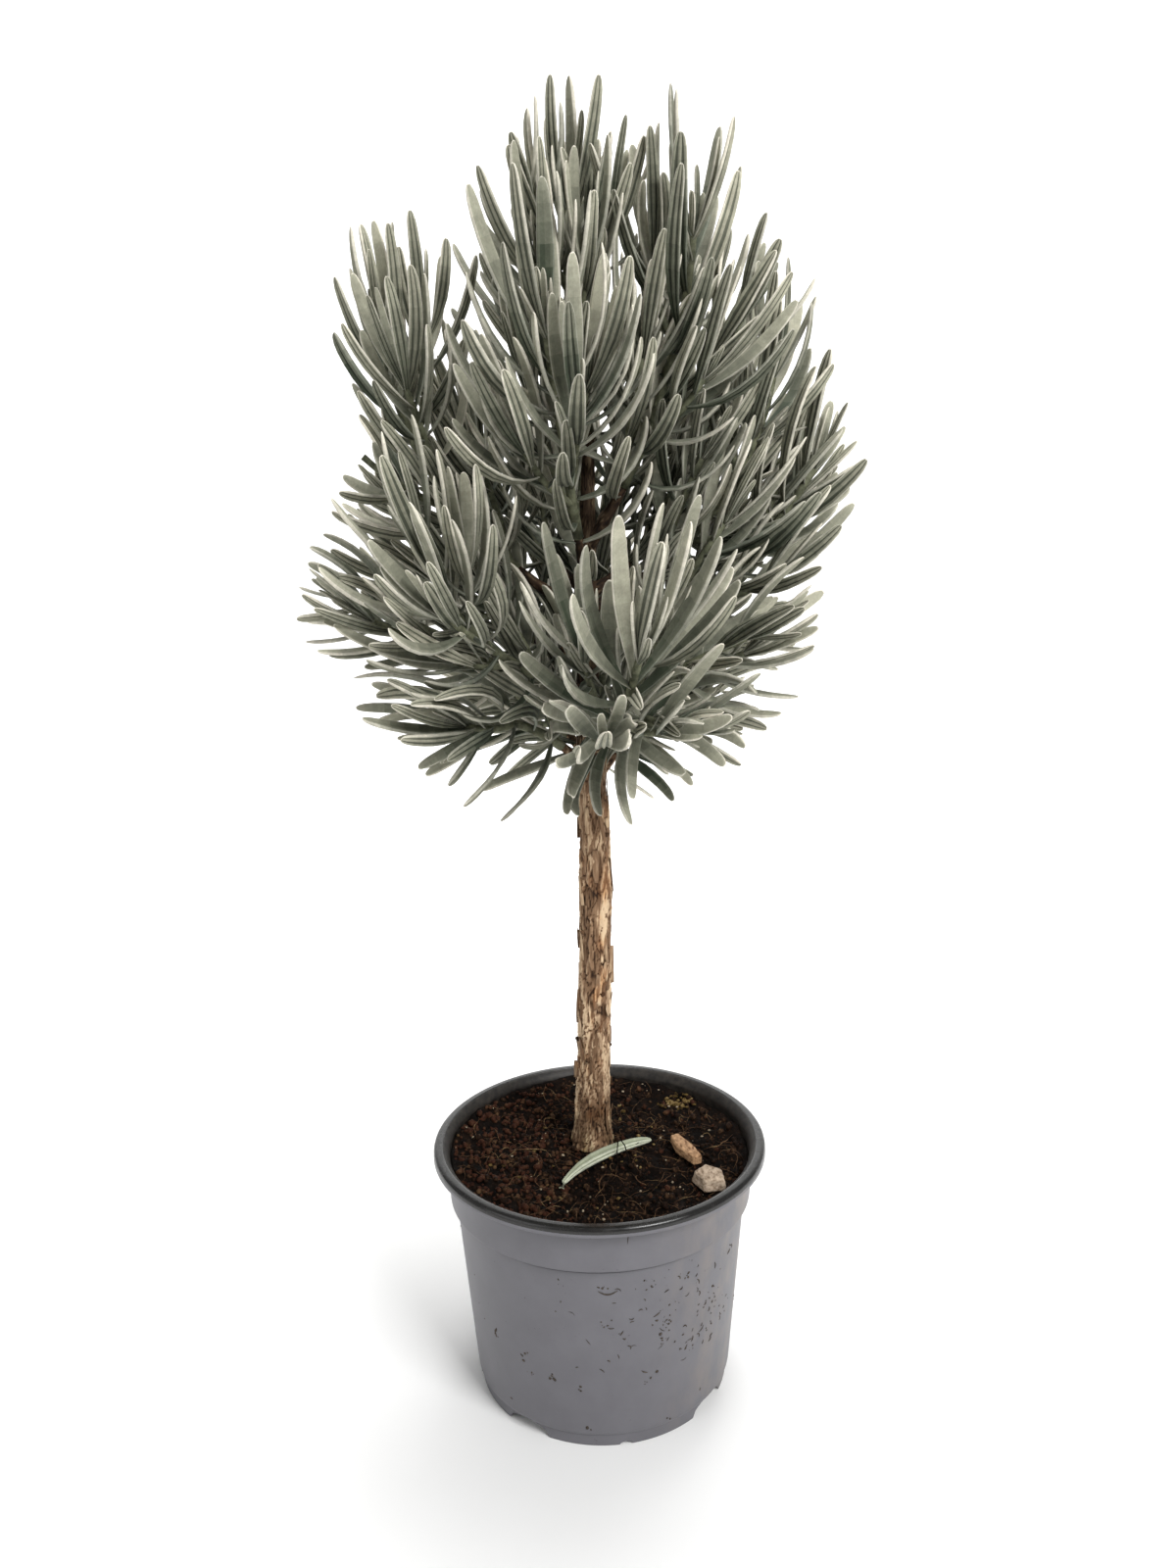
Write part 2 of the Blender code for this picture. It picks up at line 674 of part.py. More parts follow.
def shoot(name, path, radii, pairs, start, leaf_length, droop):
    """One leafy axis: where its leaves stand, from the apex down."""
    draw = random.Random(name)
    turn = draw.uniform(0.0, 90.0)
    leaves = []
    step = min(PAIR_STEP / run_length(stations(path, 9)), (1.0 - start) / pairs)
    for pair in range(pairs):
        share = 1.0 - (pair + FIRST_PAIR) * step
        age = (pair + 0.5) / AGE_PAIRS
        longest = leaf_length * (1.0 - LENGTH_FALL * (age - LONGEST_AGE) ** 2)
        opening = lerp(OPEN_HIGH, OPEN_LOW, age ** OPENING_POWER)
        sway = lerp(SWAY_YOUNG, -droop, age ** SWAY_POWER)
        here = path(share)
        axis = direction(path, share)
        side = crosswise(axis)
        for half in range(2):
            around = turn + 90.0 * pair + 180.0 * half + draw.uniform(-AROUND_JITTER, AROUND_JITTER)
            leaves.append({
                "axis": axis,
                "root": here,
                "side": side,
                "depth": LEAF_SINK * lerp(*radii, share),
                "around": math.radians(around),
                "opening": opening + draw.uniform(-OPEN_JITTER, OPEN_JITTER),
                "closing": lerp(CLOSE_HIGH, CLOSE_LOW, age) + draw.uniform(*CLOSE_JITTER),
                "length": longest * draw.uniform(*LENGTH_JITTER),
                "width": LEAF_WIDTH * draw.uniform(*WIDTH_JITTER),
                "roll": math.radians(draw.uniform(-ROLL_JITTER, ROLL_JITTER)),
                "sway": sway + draw.uniform(-SWAY_JITTER, SWAY_JITTER),
            })
    return leaves


def placed(leaf, attempt):
    """The leaf with its blade turned a little round the shoot, as each retry asks."""
    turn, lean, shrink = attempt
    around = leaf["around"] + math.radians(turn)
    over = leaf["axis"].cross(leaf["side"])
    tried = dict(leaf)
    tried["out"] = leaf["side"] * math.cos(around) + over * math.sin(around)
    tried["opening"] = leaf["opening"] + lean
    tried["length"] = leaf["length"] * shrink
    tried["sunk"] = leaf["root"] - tried["out"] * leaf["depth"]
    tried["rings"] = LEAF_RINGS if leaf["length"] > SHORT_LEAF else SHORT_LEAF_RINGS
    return tried


def side_shoot(name, index, step, run, stem_from, length):
    """A side shoot's course: it leaves the stem at an angle and turns up."""
    draw = random.Random("%s side %d" % (name, index))
    share = lerp(stem_from, 1.0, SIDE_FIRST + step * index + draw.uniform(*SIDE_JITTER))
    axis = direction(run, share)
    around = math.radians(GOLDEN_TURN * index + draw.uniform(-GOLDEN_JITTER, GOLDEN_JITTER))
    spread = math.radians(draw.uniform(*TWIG_SPREAD))
    side = crosswise(axis)
    out = side * math.cos(around) + axis.cross(side) * math.sin(around)
    ahead = axis * math.cos(spread) + out * math.sin(spread)
    ahead = (ahead + UP * (LIFT_OTHERS if index else LIFT_LOWEST)).normalized()
    size = length * draw.uniform(*TWIG_SHARE) * (1.0 - SIDE_FALL * share)
    apex = run(share) + ahead * size + (axis + UP * TIP_LIFT).normalized() * size * TIP_SHARE
    return limb_run(run(share), apex, (axis + ahead + UP * TIP_LIFT).normalized())


def stations(path, count):
    return [path(k / (count - 1)) for k in range(count)]


def tapered(radii, count):
    return [lerp(*radii, k / (count - 1)) for k in range(count)]


def run_length(points):
    return sum((b - a).length for a, b in zip(points, points[1:]))


def direction(path, share):
    """Which way a course runs at a share of it."""
    return (path(min(share + LOOK, 1.0)) - path(share - LOOK)).normalized()


def mass_plan(name, run, stem_from, slope, leaf_length, side_shoots):
    """A mass's twigs, as points and radii, and its leaves."""
    low, high = DROOP_LIMITS
    droop = min(max((LEVEL_SLOPE - slope) / DROOP_RANGE, low), high)
    stem = stations(lambda share: run(lerp(stem_from, 1.0, share)), STEM_STATIONS)
    stem[0] = stem[0] + (stem[1] - stem[0]).normalized() * CLEAR
    twigs = [(stem, tapered(STEM_RADII, STEM_STATIONS))]
    groups = [shoot(name, run, STEM_RADII, STEM_PAIRS, stem_from, leaf_length * MM, droop)]
    step = min(SIDE_STEP, SIDE_SPAN / side_shoots)
    for index in range(side_shoots):
        path = side_shoot(name, index, step, run, stem_from, run_length(stem))
        twigs.append((stations(path, TWIG_STATIONS), tapered(TWIG_RADII, TWIG_STATIONS)))
        label = "%s shoot %d" % (name, index)
        size = leaf_length * TWIG_LEAF_SHARE * MM
        groups.append(shoot(label, path, TWIG_RADII, TWIG_PAIRS, TWIG_BARE_SHARE, size, droop))
    return twigs, groups


# Own space: nothing of a mass comes within the clearance of another piece

def in_crown(point):
    height = point.z / MM
    if not CROWN_OUTLINE[0][0] <= height <= CROWN_OUTLINE[-1][0]:
        return False
    left = interpolated([row[:2] for row in CROWN_OUTLINE], height) * MM
    right = interpolated([(row[0], row[2]) for row in CROWN_OUTLINE], height) * MM
    across = point.x / (left if point.x < 0.0 else right)
    deep = (point.y - CROWN_AXIS_Y) / (CROWN_DEPTH * 0.5 * (left + right))
    return math.hypot(across, deep) <= 1.0


def box_of(points):
    low = [min(point[i] for point in points) for i in range(3)]
    high = [max(point[i] for point in points) for i in range(3)]
    return low, high


class Space:
    """What is taken so far, each with its owner, its box and its surface."""

    def __init__(self):
        self.taken = []

    def add(self, owner, solid):
        points, faces = solid
        self.taken.append((owner, *box_of(points), BVHTree.FromPolygons(points, faces)))

    def free(self, owner, solid):
        """True where nothing of another owner meets the solid."""
        points, faces = solid
        low, high = box_of(points)
        tree = None
        for other, other_low, other_high, surface in self.taken:
            if other == owner:
                continue
            if any(low[i] > other_high[i] or high[i] < other_low[i] for i in range(3)):
                continue
            tree = tree or BVHTree.FromPolygons(points, faces)
            if tree.overlap(surface):
                return False
        return True


def solid_of(obj):
    points = [obj.matrix_world @ vertex.co for vertex in obj.data.vertices]
    return points, [tuple(face.vertices) for face in obj.data.polygons]


def grow_crown(limbs):
    """Lays out every mass: first all the twigs, then leaf by leaf in turn from the apexes down."""
    space = Space()
    for obj in limbs:
        space.add(obj.name, solid_of(obj))
    plans = {}
    name, apex, slope, leaf_length, side_shoots = LEADER
    run = limb_run(trunk_point(1.0), apex, LEADER_DIRECTION)
    plans[name] = mass_plan(name, run, 0.0, slope, leaf_length, side_shoots)
    for row in MASSES:
        plans[row[0]] = mass_plan(row[0], mass_run(row), BOUGH_SHARE, row[5], row[6], row[7])
    kept = {name: [] for name in plans}
    blades = {name: Space() for name in plans}
    groups = {}
    for name, (twigs, shoots) in plans.items():
        groups[name] = []
        for index, ((points, radii), leaves) in enumerate(zip(twigs, shoots)):
            if index == 0 or space.free(name, twig_solid(points, radii, MARGIN)):
                solid = twig_solid(points, radii)
                space.add(name, solid)
                kept[name].append(solid)
                groups[name].append(leaves)
    rank = 0
    waiting = True
    while waiting:
        waiting = False
        for name, shoots in groups.items():
            for leaves in shoots:
                if rank >= len(leaves):
                    continue
                waiting = True
                for attempt in RETRIES:
                    leaf = placed(leaves[rank], attempt)
                    blade = leaf_solid(leaf, 0.0, True)
                    if not in_crown(blade[0][-1]):
                        continue
                    if space.free(name, leaf_solid(leaf, MARGIN)) and blades[name].free("", blade):
                        solid = leaf_solid(leaf)
                        space.add(name, solid)
                        blades[name].add("blade", blade)
                        kept[name].append(solid)
                        break
        rank += 1
    return kept


# Masses as solids

def outward_volume(form, faces):
    total = 0.0
    for face in faces:
        a, b, c = [vertex.co for vertex in face.verts]
        total += a.dot(b.cross(c)) / 6.0
    return total


def keep_main_body(obj):
    """Drops loose scraps and the skins of sealed hollows, so that one closed body is left."""
    form = bmesh.new()
    form.from_mesh(obj.data)
    bmesh.ops.triangulate(form, faces=form.faces)
    bodies = []
    seen = set()
    for face in form.faces:
        if face in seen:
            continue
        seen.add(face)
        body = []
        queue = [face]
        while queue:
            here = queue.pop()
            body.append(here)
            for edge in here.edges:
                for other in edge.link_faces:
                    if other not in seen:
                        seen.add(other)
                        queue.append(other)
        bodies.append(body)
    bodies.sort(key=lambda body: outward_volume(form, body), reverse=True)
    spare = [face for body in bodies[1:] for face in body]
    bmesh.ops.delete(form, geom=spare, context="FACES")
    bmesh.ops.dissolve_limit(form, angle_limit=math.radians(FLAT), verts=form.verts, edges=form.edges)
    bmesh.ops.triangulate(form, faces=form.faces)
    form.to_mesh(obj.data)
    form.free()


def make_mass(name, solids, parts):
    """Joins a mass's leaves and twigs to its stem by one union on their collection."""
    pieces = new_collection(name + "_pieces")
    for index, (points, faces) in enumerate(solids[1:]):
        mesh_object("%s_piece_%d" % (name, index), points, faces, pieces)
    mass = mesh_object("foliage_" + name, *solids[0], parts)
    union = mass.modifiers.new("Join", "BOOLEAN")
    union.operation = "UNION"
    union.operand_type = "COLLECTION"
    union.collection = pieces
    union.solver = "MANIFOLD"
    applied(mass)
    for obj in list(pieces.objects):
        mesh = obj.data
        bpy.data.objects.remove(obj, do_unlink=True)
        bpy.data.meshes.remove(mesh)
    bpy.data.collections.remove(pieces)
    keep_main_body(mass)
    finish(mass, "leaf")


# Small things that lie on the peat

def set_down(obj, ground):
    """Moves a piece up or down until its lowest edge is the clearance above the ground piece."""
    bpy.context.view_layer.update()
    points, faces = solid_of(obj)
    surface = BVHTree.FromPolygons(*solid_of(ground))
    gaps = []
    for face in faces:
        for first, second in zip(face, face[1:] + face[:1]):
            for k in range(EDGE_SAMPLES):
                point = points[first].lerp(points[second], k / EDGE_SAMPLES)
                hit = surface.ray_cast(Vector((point.x, point.y, POT_HEIGHT)), -UP)[0]
                gaps.append(point.z - hit.z)
    obj.location.z += CLEAR - min(gaps)


def make_chip(name, length, width, thickness, place, turn, corners, parts, ground):
    """A split of bark: a many-cornered slab with uneven corners and broken edges."""
    draw = random.Random(name)
    form = bmesh.new()
    top = 0.5 * CHIP_TAPER
    bmesh.ops.create_cone(form, cap_ends=True, segments=corners, radius1=0.5, radius2=top, depth=1.0)
    bmesh.ops.scale(form, verts=form.verts, vec=(length, width, thickness))
    for vertex in form.verts:
        vertex.co.x += draw.uniform(-CHIP_JITTER, CHIP_JITTER) * length
        vertex.co.y += draw.uniform(-CHIP_JITTER, CHIP_JITTER) * width
    bmesh.ops.bevel(form, geom=form.edges[:], offset=CHIP_BEVEL * thickness, segments=1, affect="EDGES")
    mesh = bpy.data.meshes.new(name)
    form.to_mesh(mesh)
    form.free()
    chip = bpy.data.objects.new(name, mesh)
    chip.location = (*place, SOIL_HEIGHT)
    chip.rotation_euler = (0.0, 0.0, math.radians(turn))
    parts.objects.link(chip)
    set_down(chip, ground)
    finish(chip, "chip")


def make_fallen_leaf(parts, ground):
    turn = math.radians(FALLEN_TURN)
    leaf = {
        "root": FALLEN_START.copy(),
        "axis": Vector((math.cos(turn), math.sin(turn), 0.0)),
        "out": Vector((math.sin(turn), -math.cos(turn), 0.0)),
        "length": FALLEN_LENGTH,
        "opening": -FALLEN_LEAD * FALLEN_BEND,
        "closing": -FALLEN_BEND,
        "sway": 0.0,
        "roll": math.radians(90.0),
        "sunk": FALLEN_START.copy(),
        "width": FALLEN_WIDTH,
        "rings": FALLEN_RINGS,
    }
    blade = mesh_object("fallen_leaf", *leaf_solid(leaf), parts)
    set_down(blade, ground)
    finish(blade, "leaf")


def main():
    clear_scene()
    parts = new_collection("potted_lavender")
    cutters = new_collection("cutters")
    make_pot(parts, cutters)
    soil = make_soil(parts)
    trunk = make_trunk(parts)
    sleeve = trunk_sleeve(cutters)
    limbs = [trunk] + [make_bough(row, parts, sleeve) for row in MASSES]
    for name, solids in grow_crown(limbs).items():
        make_mass(name, solids, parts)
    for chip in CHIPS:
        make_chip(*chip, parts, soil)
    make_fallen_leaf(parts, soil)


main()
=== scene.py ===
"""Potted standard lavender: moulded pot, peat, flaking trunk and a head of felted grey-green leaves.

A Blender add-on that is also run as a script. All lengths are in metres, +Z is up, and the
front of the plant faces -Y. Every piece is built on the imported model's frame.
"""

import json
import math
import random

import bmesh
import bpy
import numpy as np
from bpy.props import FloatProperty, FloatVectorProperty, IntProperty, PointerProperty, StringProperty
from mathutils import Matrix, Vector, noise
from mathutils.bvhtree import BVHTree

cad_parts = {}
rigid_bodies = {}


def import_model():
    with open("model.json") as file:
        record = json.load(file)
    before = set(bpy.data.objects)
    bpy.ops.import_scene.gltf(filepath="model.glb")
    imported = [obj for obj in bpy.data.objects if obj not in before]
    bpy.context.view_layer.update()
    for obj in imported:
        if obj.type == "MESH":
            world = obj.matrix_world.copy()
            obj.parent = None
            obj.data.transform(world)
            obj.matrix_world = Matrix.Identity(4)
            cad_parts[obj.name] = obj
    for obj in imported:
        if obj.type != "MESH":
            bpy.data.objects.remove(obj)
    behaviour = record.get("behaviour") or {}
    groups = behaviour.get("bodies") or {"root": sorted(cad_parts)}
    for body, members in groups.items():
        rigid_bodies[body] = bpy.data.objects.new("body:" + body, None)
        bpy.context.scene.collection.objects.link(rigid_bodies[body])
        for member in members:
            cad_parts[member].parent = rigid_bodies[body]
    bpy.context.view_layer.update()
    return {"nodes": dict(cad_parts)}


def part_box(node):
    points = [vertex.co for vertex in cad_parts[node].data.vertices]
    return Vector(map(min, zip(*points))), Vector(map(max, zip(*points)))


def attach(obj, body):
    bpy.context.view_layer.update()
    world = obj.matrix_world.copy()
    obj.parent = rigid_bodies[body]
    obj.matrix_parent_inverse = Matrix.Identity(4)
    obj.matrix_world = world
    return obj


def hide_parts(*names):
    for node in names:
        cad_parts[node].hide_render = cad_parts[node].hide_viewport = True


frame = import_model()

bl_info = {
    "name": "Potted standard lavender",
    "version": (1, 0, 0),
    "blender": (4, 5, 0),
    "location": "View3D > Sidebar > Lavender",
    "description": "Builds a potted lavender standard piece by piece",
    "category": "Add Mesh",
}

MM = 0.001
UP = Vector((0.0, 0.0, 1.0))
BODY = "root"

# Sizes that the source of the solids also holds, so that the pieces grow on from the limbs

CLEAR = 0.3 * MM
POT_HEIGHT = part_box("pot")[1].z
RIM_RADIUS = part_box("pot")[1].x
LIP_DEPTH = 4.0 * MM
LIP_POWERS = (1.3, 0.5)
WALL = 1.3 * MM
# Inside this radius the pot is darkened with painted shade.
SHADED_INSIDE_RADIUS = 66.0 * MM
GREY_BELOW = 2.5 * MM
LIP_FACE = 68.6 * MM
BASE_RADIUS = 54.9 * MM
SHOULDER_RADIUS = 61.0 * MM
SHOULDER_HEIGHT = 82.0 * MM
COLLAR_RADIUS = 63.6 * MM
COLLAR_HEIGHT = 86.0 * MM
COLLAR_FLARE = 0.9 * MM
# The step under the collar: heights in mm and shares of the way from the shoulder out to the collar
COLLAR_STEP = ((86.0, 1.0), (85.1, 0.96), (84.7, 0.7), (84.3, 0.2), (83.9, -0.12), (83.5, -0.1), (83.1, 0.03), (82.0, 0.0))
BEAD_DEPTH = 2.2 * MM
BEAD_STEP = 0.8 * MM
FOOT_HEIGHT = 5.4 * MM
FOOT_RADIUS = 53.4 * MM
FOOT_WIDTH = 2.3 * MM
FLOOR_TOP = 7.2 * MM
FLOOR_UNDERSIDE = 5.6 * MM
PAD_RADIUS = 11.0 * MM
PAD_THICKNESS = 1.5 * MM
PAD_SLOPE = 0.29
NOTCH_COUNT = 4
NOTCH_START = 54.0
BIG_NOTCH = (20.0 * MM, 5.0 * MM)
SMALL_NOTCH = (5.0 * MM, 1.6 * MM)
DRAIN_COUNT = 4
DRAIN_RADIUS = 4.0 * MM
DRAIN_CIRCLE = 36.0 * MM

SOIL_HEIGHT = 98.0 * MM
SOIL_WAVES = ((57.0 * MM, 20.0, 0.6 * MM), (70.0 * MM, 100.0, 0.6 * MM), (22.0 * MM, 60.0, 0.4 * MM))
SEAT_RADIUS = 12.0 * MM
SEAT_FADE = 14.0 * MM
HEAP_HEIGHTS = (2.0 * MM, 6.5 * MM)
HEAP_HEADING = 130.0
HEAP_POWER = 4

FALLEN_START = (-15.8 * MM, -28.1 * MM)
FALLEN_TURN = 42.6
FALLEN_BEND = 56.0
FALLEN_LENGTH = 55.5 * MM
FALLEN_WIDTH = 6.0 * MM

TRUNK_FOOT = Vector((-2.9 * MM, 10.6 * MM, SOIL_HEIGHT + CLEAR))
# Old bud knobs on the trunk: share of its height and azimuth
SCARS = (
    (0.1, 70), (0.14, 250), (0.155, -8), (0.165, 184), (0.19, 120), (0.24, 300), (0.27, 20), (0.33, 215),
    (0.41, 160), (0.47, 330), (0.52, 60),
)
# A fibre bent over the fallen leaf, in mm
BENT_FIBRE = (
    (7.3, -7.5, 98.6), (7.5, -3.0, 101.4), (8.0, 1.5, 103.6), (9.2, 2.2, 103.8), (10.8, -0.5, 102.8), (12.2, -4.5, 98.8),
)
TRUNK_TIP = Vector((1.5 * MM, 5.0 * MM, 395.0 * MM))
TRUNK_BOW = 2.0 * MM
TRUNK_WAVES = 5.0
TRUNK_TAPER = (
    (0.0, 9.0), (0.02, 8.1), (0.06, 7.3), (0.15, 6.7), (0.4, 6.1), (0.55, 5.6), (0.75, 4.0), (1.0, 2.2),
)

BOUGH_SHARE = 0.22
BOUGH_RADII = (2.7 * MM, 1.7 * MM)
TURN_SHARE = 0.5

# Masses: name, azimuth from +X, reach, apex height, height on the trunk, tip slope, leaf length
# and number of side shoots
MASSES = (
    ("leader_right", -16, 42, 461, 352, 85, 57, 3),
    ("upper_front", 254, 44, 424, 338, 66, 56, 3),
    ("upper_left", 183, 74, 430, 326, 84, 50, 3),
    ("upper_right", 4, 72, 414, 328, 80, 46, 2),
    ("back_top", 60, 44, 428, 350, 80, 44, 2),
    ("back_upper_left", 134, 62, 400, 336, 74, 46, 2),
    ("back_upper_right", 46, 78, 408, 334, 70, 46, 2),
    ("right_outer", 3, 88, 380, 304, 58, 50, 2),
    ("mid_left", 215, 70, 352, 296, 68, 52, 2),
    ("low_left", 187, 93, 336, 281, 20, 40, 2),
    ("front_mid", 281, 84, 318, 288, 48, 58, 2),
    ("front_low", 293, 76, 290, 266, -18, 48, 2),
    ("right_low", 334, 66, 320, 278, 22, 46, 2),
    ("left_hang", 206, 62, 288, 263, -14, 50, 2),
    ("back_left", 148, 90, 366, 308, 54, 48, 2),
    ("back_right", 34, 92, 350, 298, 44, 48, 2),
    ("back_mid", 92, 84, 380, 316, 58, 50, 2),
    ("back_low_left", 128, 66, 288, 268, -4, 44, 2),
    ("back_low", 88, 80, 316, 284, 16, 46, 2),
    ("back_low_right", 36, 68, 290, 258, -6, 46, 2),
)
LEADER = ("leader", Vector((-4.8 * MM, 5.0 * MM, 473.0 * MM)), 88, 50, 4)

CROWN_AXIS_Y = 5.0 * MM
CROWN_FOOT = 245.0 * MM
CROWN_DEPTH = 1.12
# The crown's outline seen from the front: height, reach to the left and reach to the right
CROWN_OUTLINE = (
    (236, 20, 30), (248, 46, 52), (262, 66, 72), (284, 80, 78), (300, 104, 88), (332, 114, 88),
    (352, 106, 96), (368, 104, 104), (392, 84, 105), (416, 91, 95), (452, 90, 87), (470, 82, 70),
    (482, 38, 60), (500, 20, 62), (514, 19, 42), (519, 14, 16),
)

# The rule that shoots grow by
STEM_RADII = (2.0 * MM, 1.3 * MM)
TWIG_RADII = (1.5 * MM, 1.2 * MM)
STEM_PAIRS = 6
TWIG_PAIRS = 4
PAIR_STEP = 6.2 * MM
AGE_PAIRS = 7
FIRST_PAIR = 0.3
TWIG_SHARE = (0.42, 0.60)
TWIG_SPREAD = (34.0, 50.0)
TWIG_LEAF_SHARE = 0.84
TWIG_BARE_SHARE = 0.35
GOLDEN_TURN = 137.5
GOLDEN_JITTER = 25.0
SIDE_FIRST = 0.03
SIDE_STEP = 0.34
SIDE_SPAN = 0.8
SIDE_JITTER = (-0.02, 0.05)
SIDE_FALL = 0.5
LIFT_LOWEST = 1.3
LIFT_OTHERS = 0.15
TIP_LIFT = 0.3
TIP_SHARE = 0.25
OPEN_LOW = 72.0
OPEN_HIGH = 19.0
CLOSE_LOW = 50.0
CLOSE_HIGH = 17.0
OPEN_JITTER = 7.0
CLOSE_JITTER = (-6.0, 8.0)
AROUND_JITTER = 12.0
ROLL_JITTER = 22.0
LENGTH_JITTER = (0.9, 1.16)
WIDTH_JITTER = (0.86, 1.16)
LEAF_LENGTH = 50.0 * MM
LONGEST_AGE = 0.4
LENGTH_FALL = 0.4
SWAY_YOUNG = 0.35
SWAY_JITTER = 0.12
LEVEL_SLOPE = 48.0
DROOP_RANGE = 55.0
DROOP_LIMITS = (-0.35, 0.95)
LEAF_STEPS = 25
OPENING_POWER = 0.8
SWAY_POWER = 0.7
LEADER_DIRECTION = Vector((0.05, 0.0, 1.0)).normalized()
LOOK = 0.02
RETRIES = (
    (0, 0, 1.0), (16, 0, 1.0), (-16, 0, 1.0), (0, -12, 0.92), (30, -6, 0.85), (-30, -6, 0.85), (0, 8, 0.72),
)

# What the finer growth adds: older pairs further down each shoot, more side shoots and tufts of
# short young leaves where older leaves stand
MORE_PAIRS = 7
LOWEST_PAIR = 0.07
MORE_STEP = 9.0 * MM
MORE_SHOOTS = 2
TUFTS = 4
TUFT_LENGTH = (13.0 * MM, 27.0 * MM)
TIP_TUFT = (24.0 * MM, 42.0 * MM)

# How much deeper than the source's a leaf's bow may be about the same chord, in degrees
DEEPER_BOW = (-8.0, 40.0)
BOW_AGE = 0.7
OPEN_MASSES = ("low_left", "left_hang", "front_low", "right_low")

# Real leaves, and the section that every ring of one has. Each row is a point of the right half,
# from the middle of the upper face round the rolled rim to the rib underneath: share of the half
# width, distance in from there, height as a share of the thickness, and the zone that starts there
LEAF_WIDTH = 5.4 * MM
LEAF_THICKNESS = 1.45 * MM
LEAF_SECTION = (
    (0.0, 0.0, 0.28, "upper"),
    (0.58, 0.0, 0.50, "upper"),
    (1.0, 0.34, 0.38, "rim"),
    (1.0, 0.0, -0.12, "rim"),
    (1.0, 0.36, -0.52, "upper"),
    (1.0, 1.15, -0.20, "channel"),
    (0.5, 0.35, 0.02, "channel"),
    (0.0, -0.62, -0.12, "rib"),
    (0.0, 0.0, -0.52, "rib"),
)
FULL_HALF = 2.2
LEAF_RINGS = (0.0, 0.08, 0.19, 0.32, 0.46, 0.60, 0.73, 0.84, 0.915, 0.965, 0.99)
TIP_START = 0.84
ZONES = ("upper", "rim", "channel", "rib")
PALE_SHARE = 0.12
PALE_LIFT = 4.4
# Paling from a leaf's foot to its tip: partly paler tips, partly painted light with the feet in shade and the tips lit.
TIP_PALING = 6.9
SHADES = 15
STREAK = 0.55

# Clods of dirt dried on the pot's wall: azimuth, height in mm, spread in mm, how many, size in mm
DIRT = (
    (-66, 57, 3.0, 14, 1.3), (-43, 56, 3.2, 12, 1.2), (-88, 75.6, 2.2, 4, 1.1), (-73, 76.6, 2.4, 7, 1.1),
    (-89, 60.7, 2.0, 5, 0.9), (-139, 40.4, 0.8, 3, 1.5), (-147, 42.9, 0.2, 1, 1.7), (-124, 37.5, 2.2, 6, 1.2),
    (-112, 32.7, 1.2, 4, 1.9), (-121, 29.6, 1.2, 4, 1.2), (-100, 28.2, 0.8, 3, 1.0), (-70, 33.6, 1.0, 3, 2.0),
    (-74, 30.6, 1.2, 3, 1.3), (-57, 39.7, 0.8, 3, 1.4), (-52, 37.9, 1.0, 3, 1.2), (-42, 42.8, 1.6, 5, 1.3),
    (-56, 73.8, 1.0, 4, 1.5), (-45, 14.4, 1.2, 3, 1.1), (-62, 8.3, 0.5, 2, 1.1), (-97, 8.7, 0.6, 2, 1.6),
    (-134, 12.4, 0.4, 2, 1.1), (-106, 78.9, 1.0, 3, 0.9), (-83, 53.8, 1.4, 4, 1.1), (-66, 48.8, 1.6, 5, 1.3),
    (-34, 47, 4.0, 10, 0.9), (-60, 66, 9.0, 16, 0.6), (30, 50, 16.0, 14, 1.0), (110, 40, 18.0, 16, 1.1),
    (190, 55, 16.0, 12, 1.0),
)


# Colours, nodes and materials

def linear(code):
    """Turns an sRGB hex colour into linear red, green, blue and alpha."""
    channels = [int(code[k:k + 2], 16) / 255.0 for k in (1, 3, 5)]
    channels = [c / 12.92 if c <= 0.04045 else ((c + 0.055) / 1.055) ** 2.4 for c in channels]
    return (*channels, 1.0)


def between(first, second, share):
    """A colour part of the way from one hex colour to another, as linear values."""
    return tuple(a + (b - a) * share for a, b in zip(linear(first), linear(second)))


def add_node(tree, kind, settings=(), links=()):
    """Adds a node, sets its properties, sockets and ramp stops, and links its inputs."""
    made = tree.nodes.new(kind)
    for name, value in dict(settings).items():
        if name == "stops":
            ramp = made.color_ramp
            while len(ramp.elements) < len(value):
                ramp.elements.new(0.5)
            for stop, (place, colour) in zip(ramp.elements, value):
                stop.position = place
                stop.color = colour
        elif isinstance(name, int) or name in made.inputs:
            made.inputs[name].default_value = value
        else:
            setattr(made, name, value)
    for name, source in dict(links).items():
        tree.links.new(source, made.inputs[name])
    return made


def new_material(name, **shader_values):
    """A Principled material; values are set on the shader's own sockets."""
    material = bpy.data.materials.new(name)
    material.use_nodes = True
    shader = material.node_tree.nodes["Principled BSDF"]
    for socket, value in shader_values.items():
        shader.inputs[socket.replace("_", " ")].default_value = value
    return material, material.node_tree, shader


def connect(tree, source, shader, socket):
    tree.links.new(source, shader.inputs[socket])


def grain(tree, place, size, detail=3.0, stretch=(1.0, 1.0, 1.0)):
    """Noise whose grains measure a real size, in metres, along each axis of the stretch."""
    scaled = add_node(tree, "ShaderNodeVectorMath", {"operation": "MULTIPLY", 1: stretch}, {0: place})
    settings = {"Scale": 1.0 / size, "Detail": detail, "Roughness": 0.6}
    return add_node(tree, "ShaderNodeTexNoise", settings, {"Vector": scaled.outputs[0]})


def position(tree):
    return add_node(tree, "ShaderNodeTexCoord").outputs["Object"]


# Meshes

def new_mesh_object(name, points, faces, materials, face_materials=None, smooth=True):
    mesh = bpy.data.meshes.new(name)
    mesh.from_pydata(np.asarray(points, float).reshape(-1, 3).tolist(), [], [tuple(f) for f in faces])
    for material in materials:
        mesh.materials.append(material)
    if face_materials is not None:
        mesh.polygons.foreach_set("material_index", np.asarray(face_materials, np.int32))
    mesh.update()
    if smooth:
        mesh.shade_smooth()
    obj = bpy.data.objects.new(name, mesh)
    bpy.context.scene.collection.objects.link(obj)
    return obj


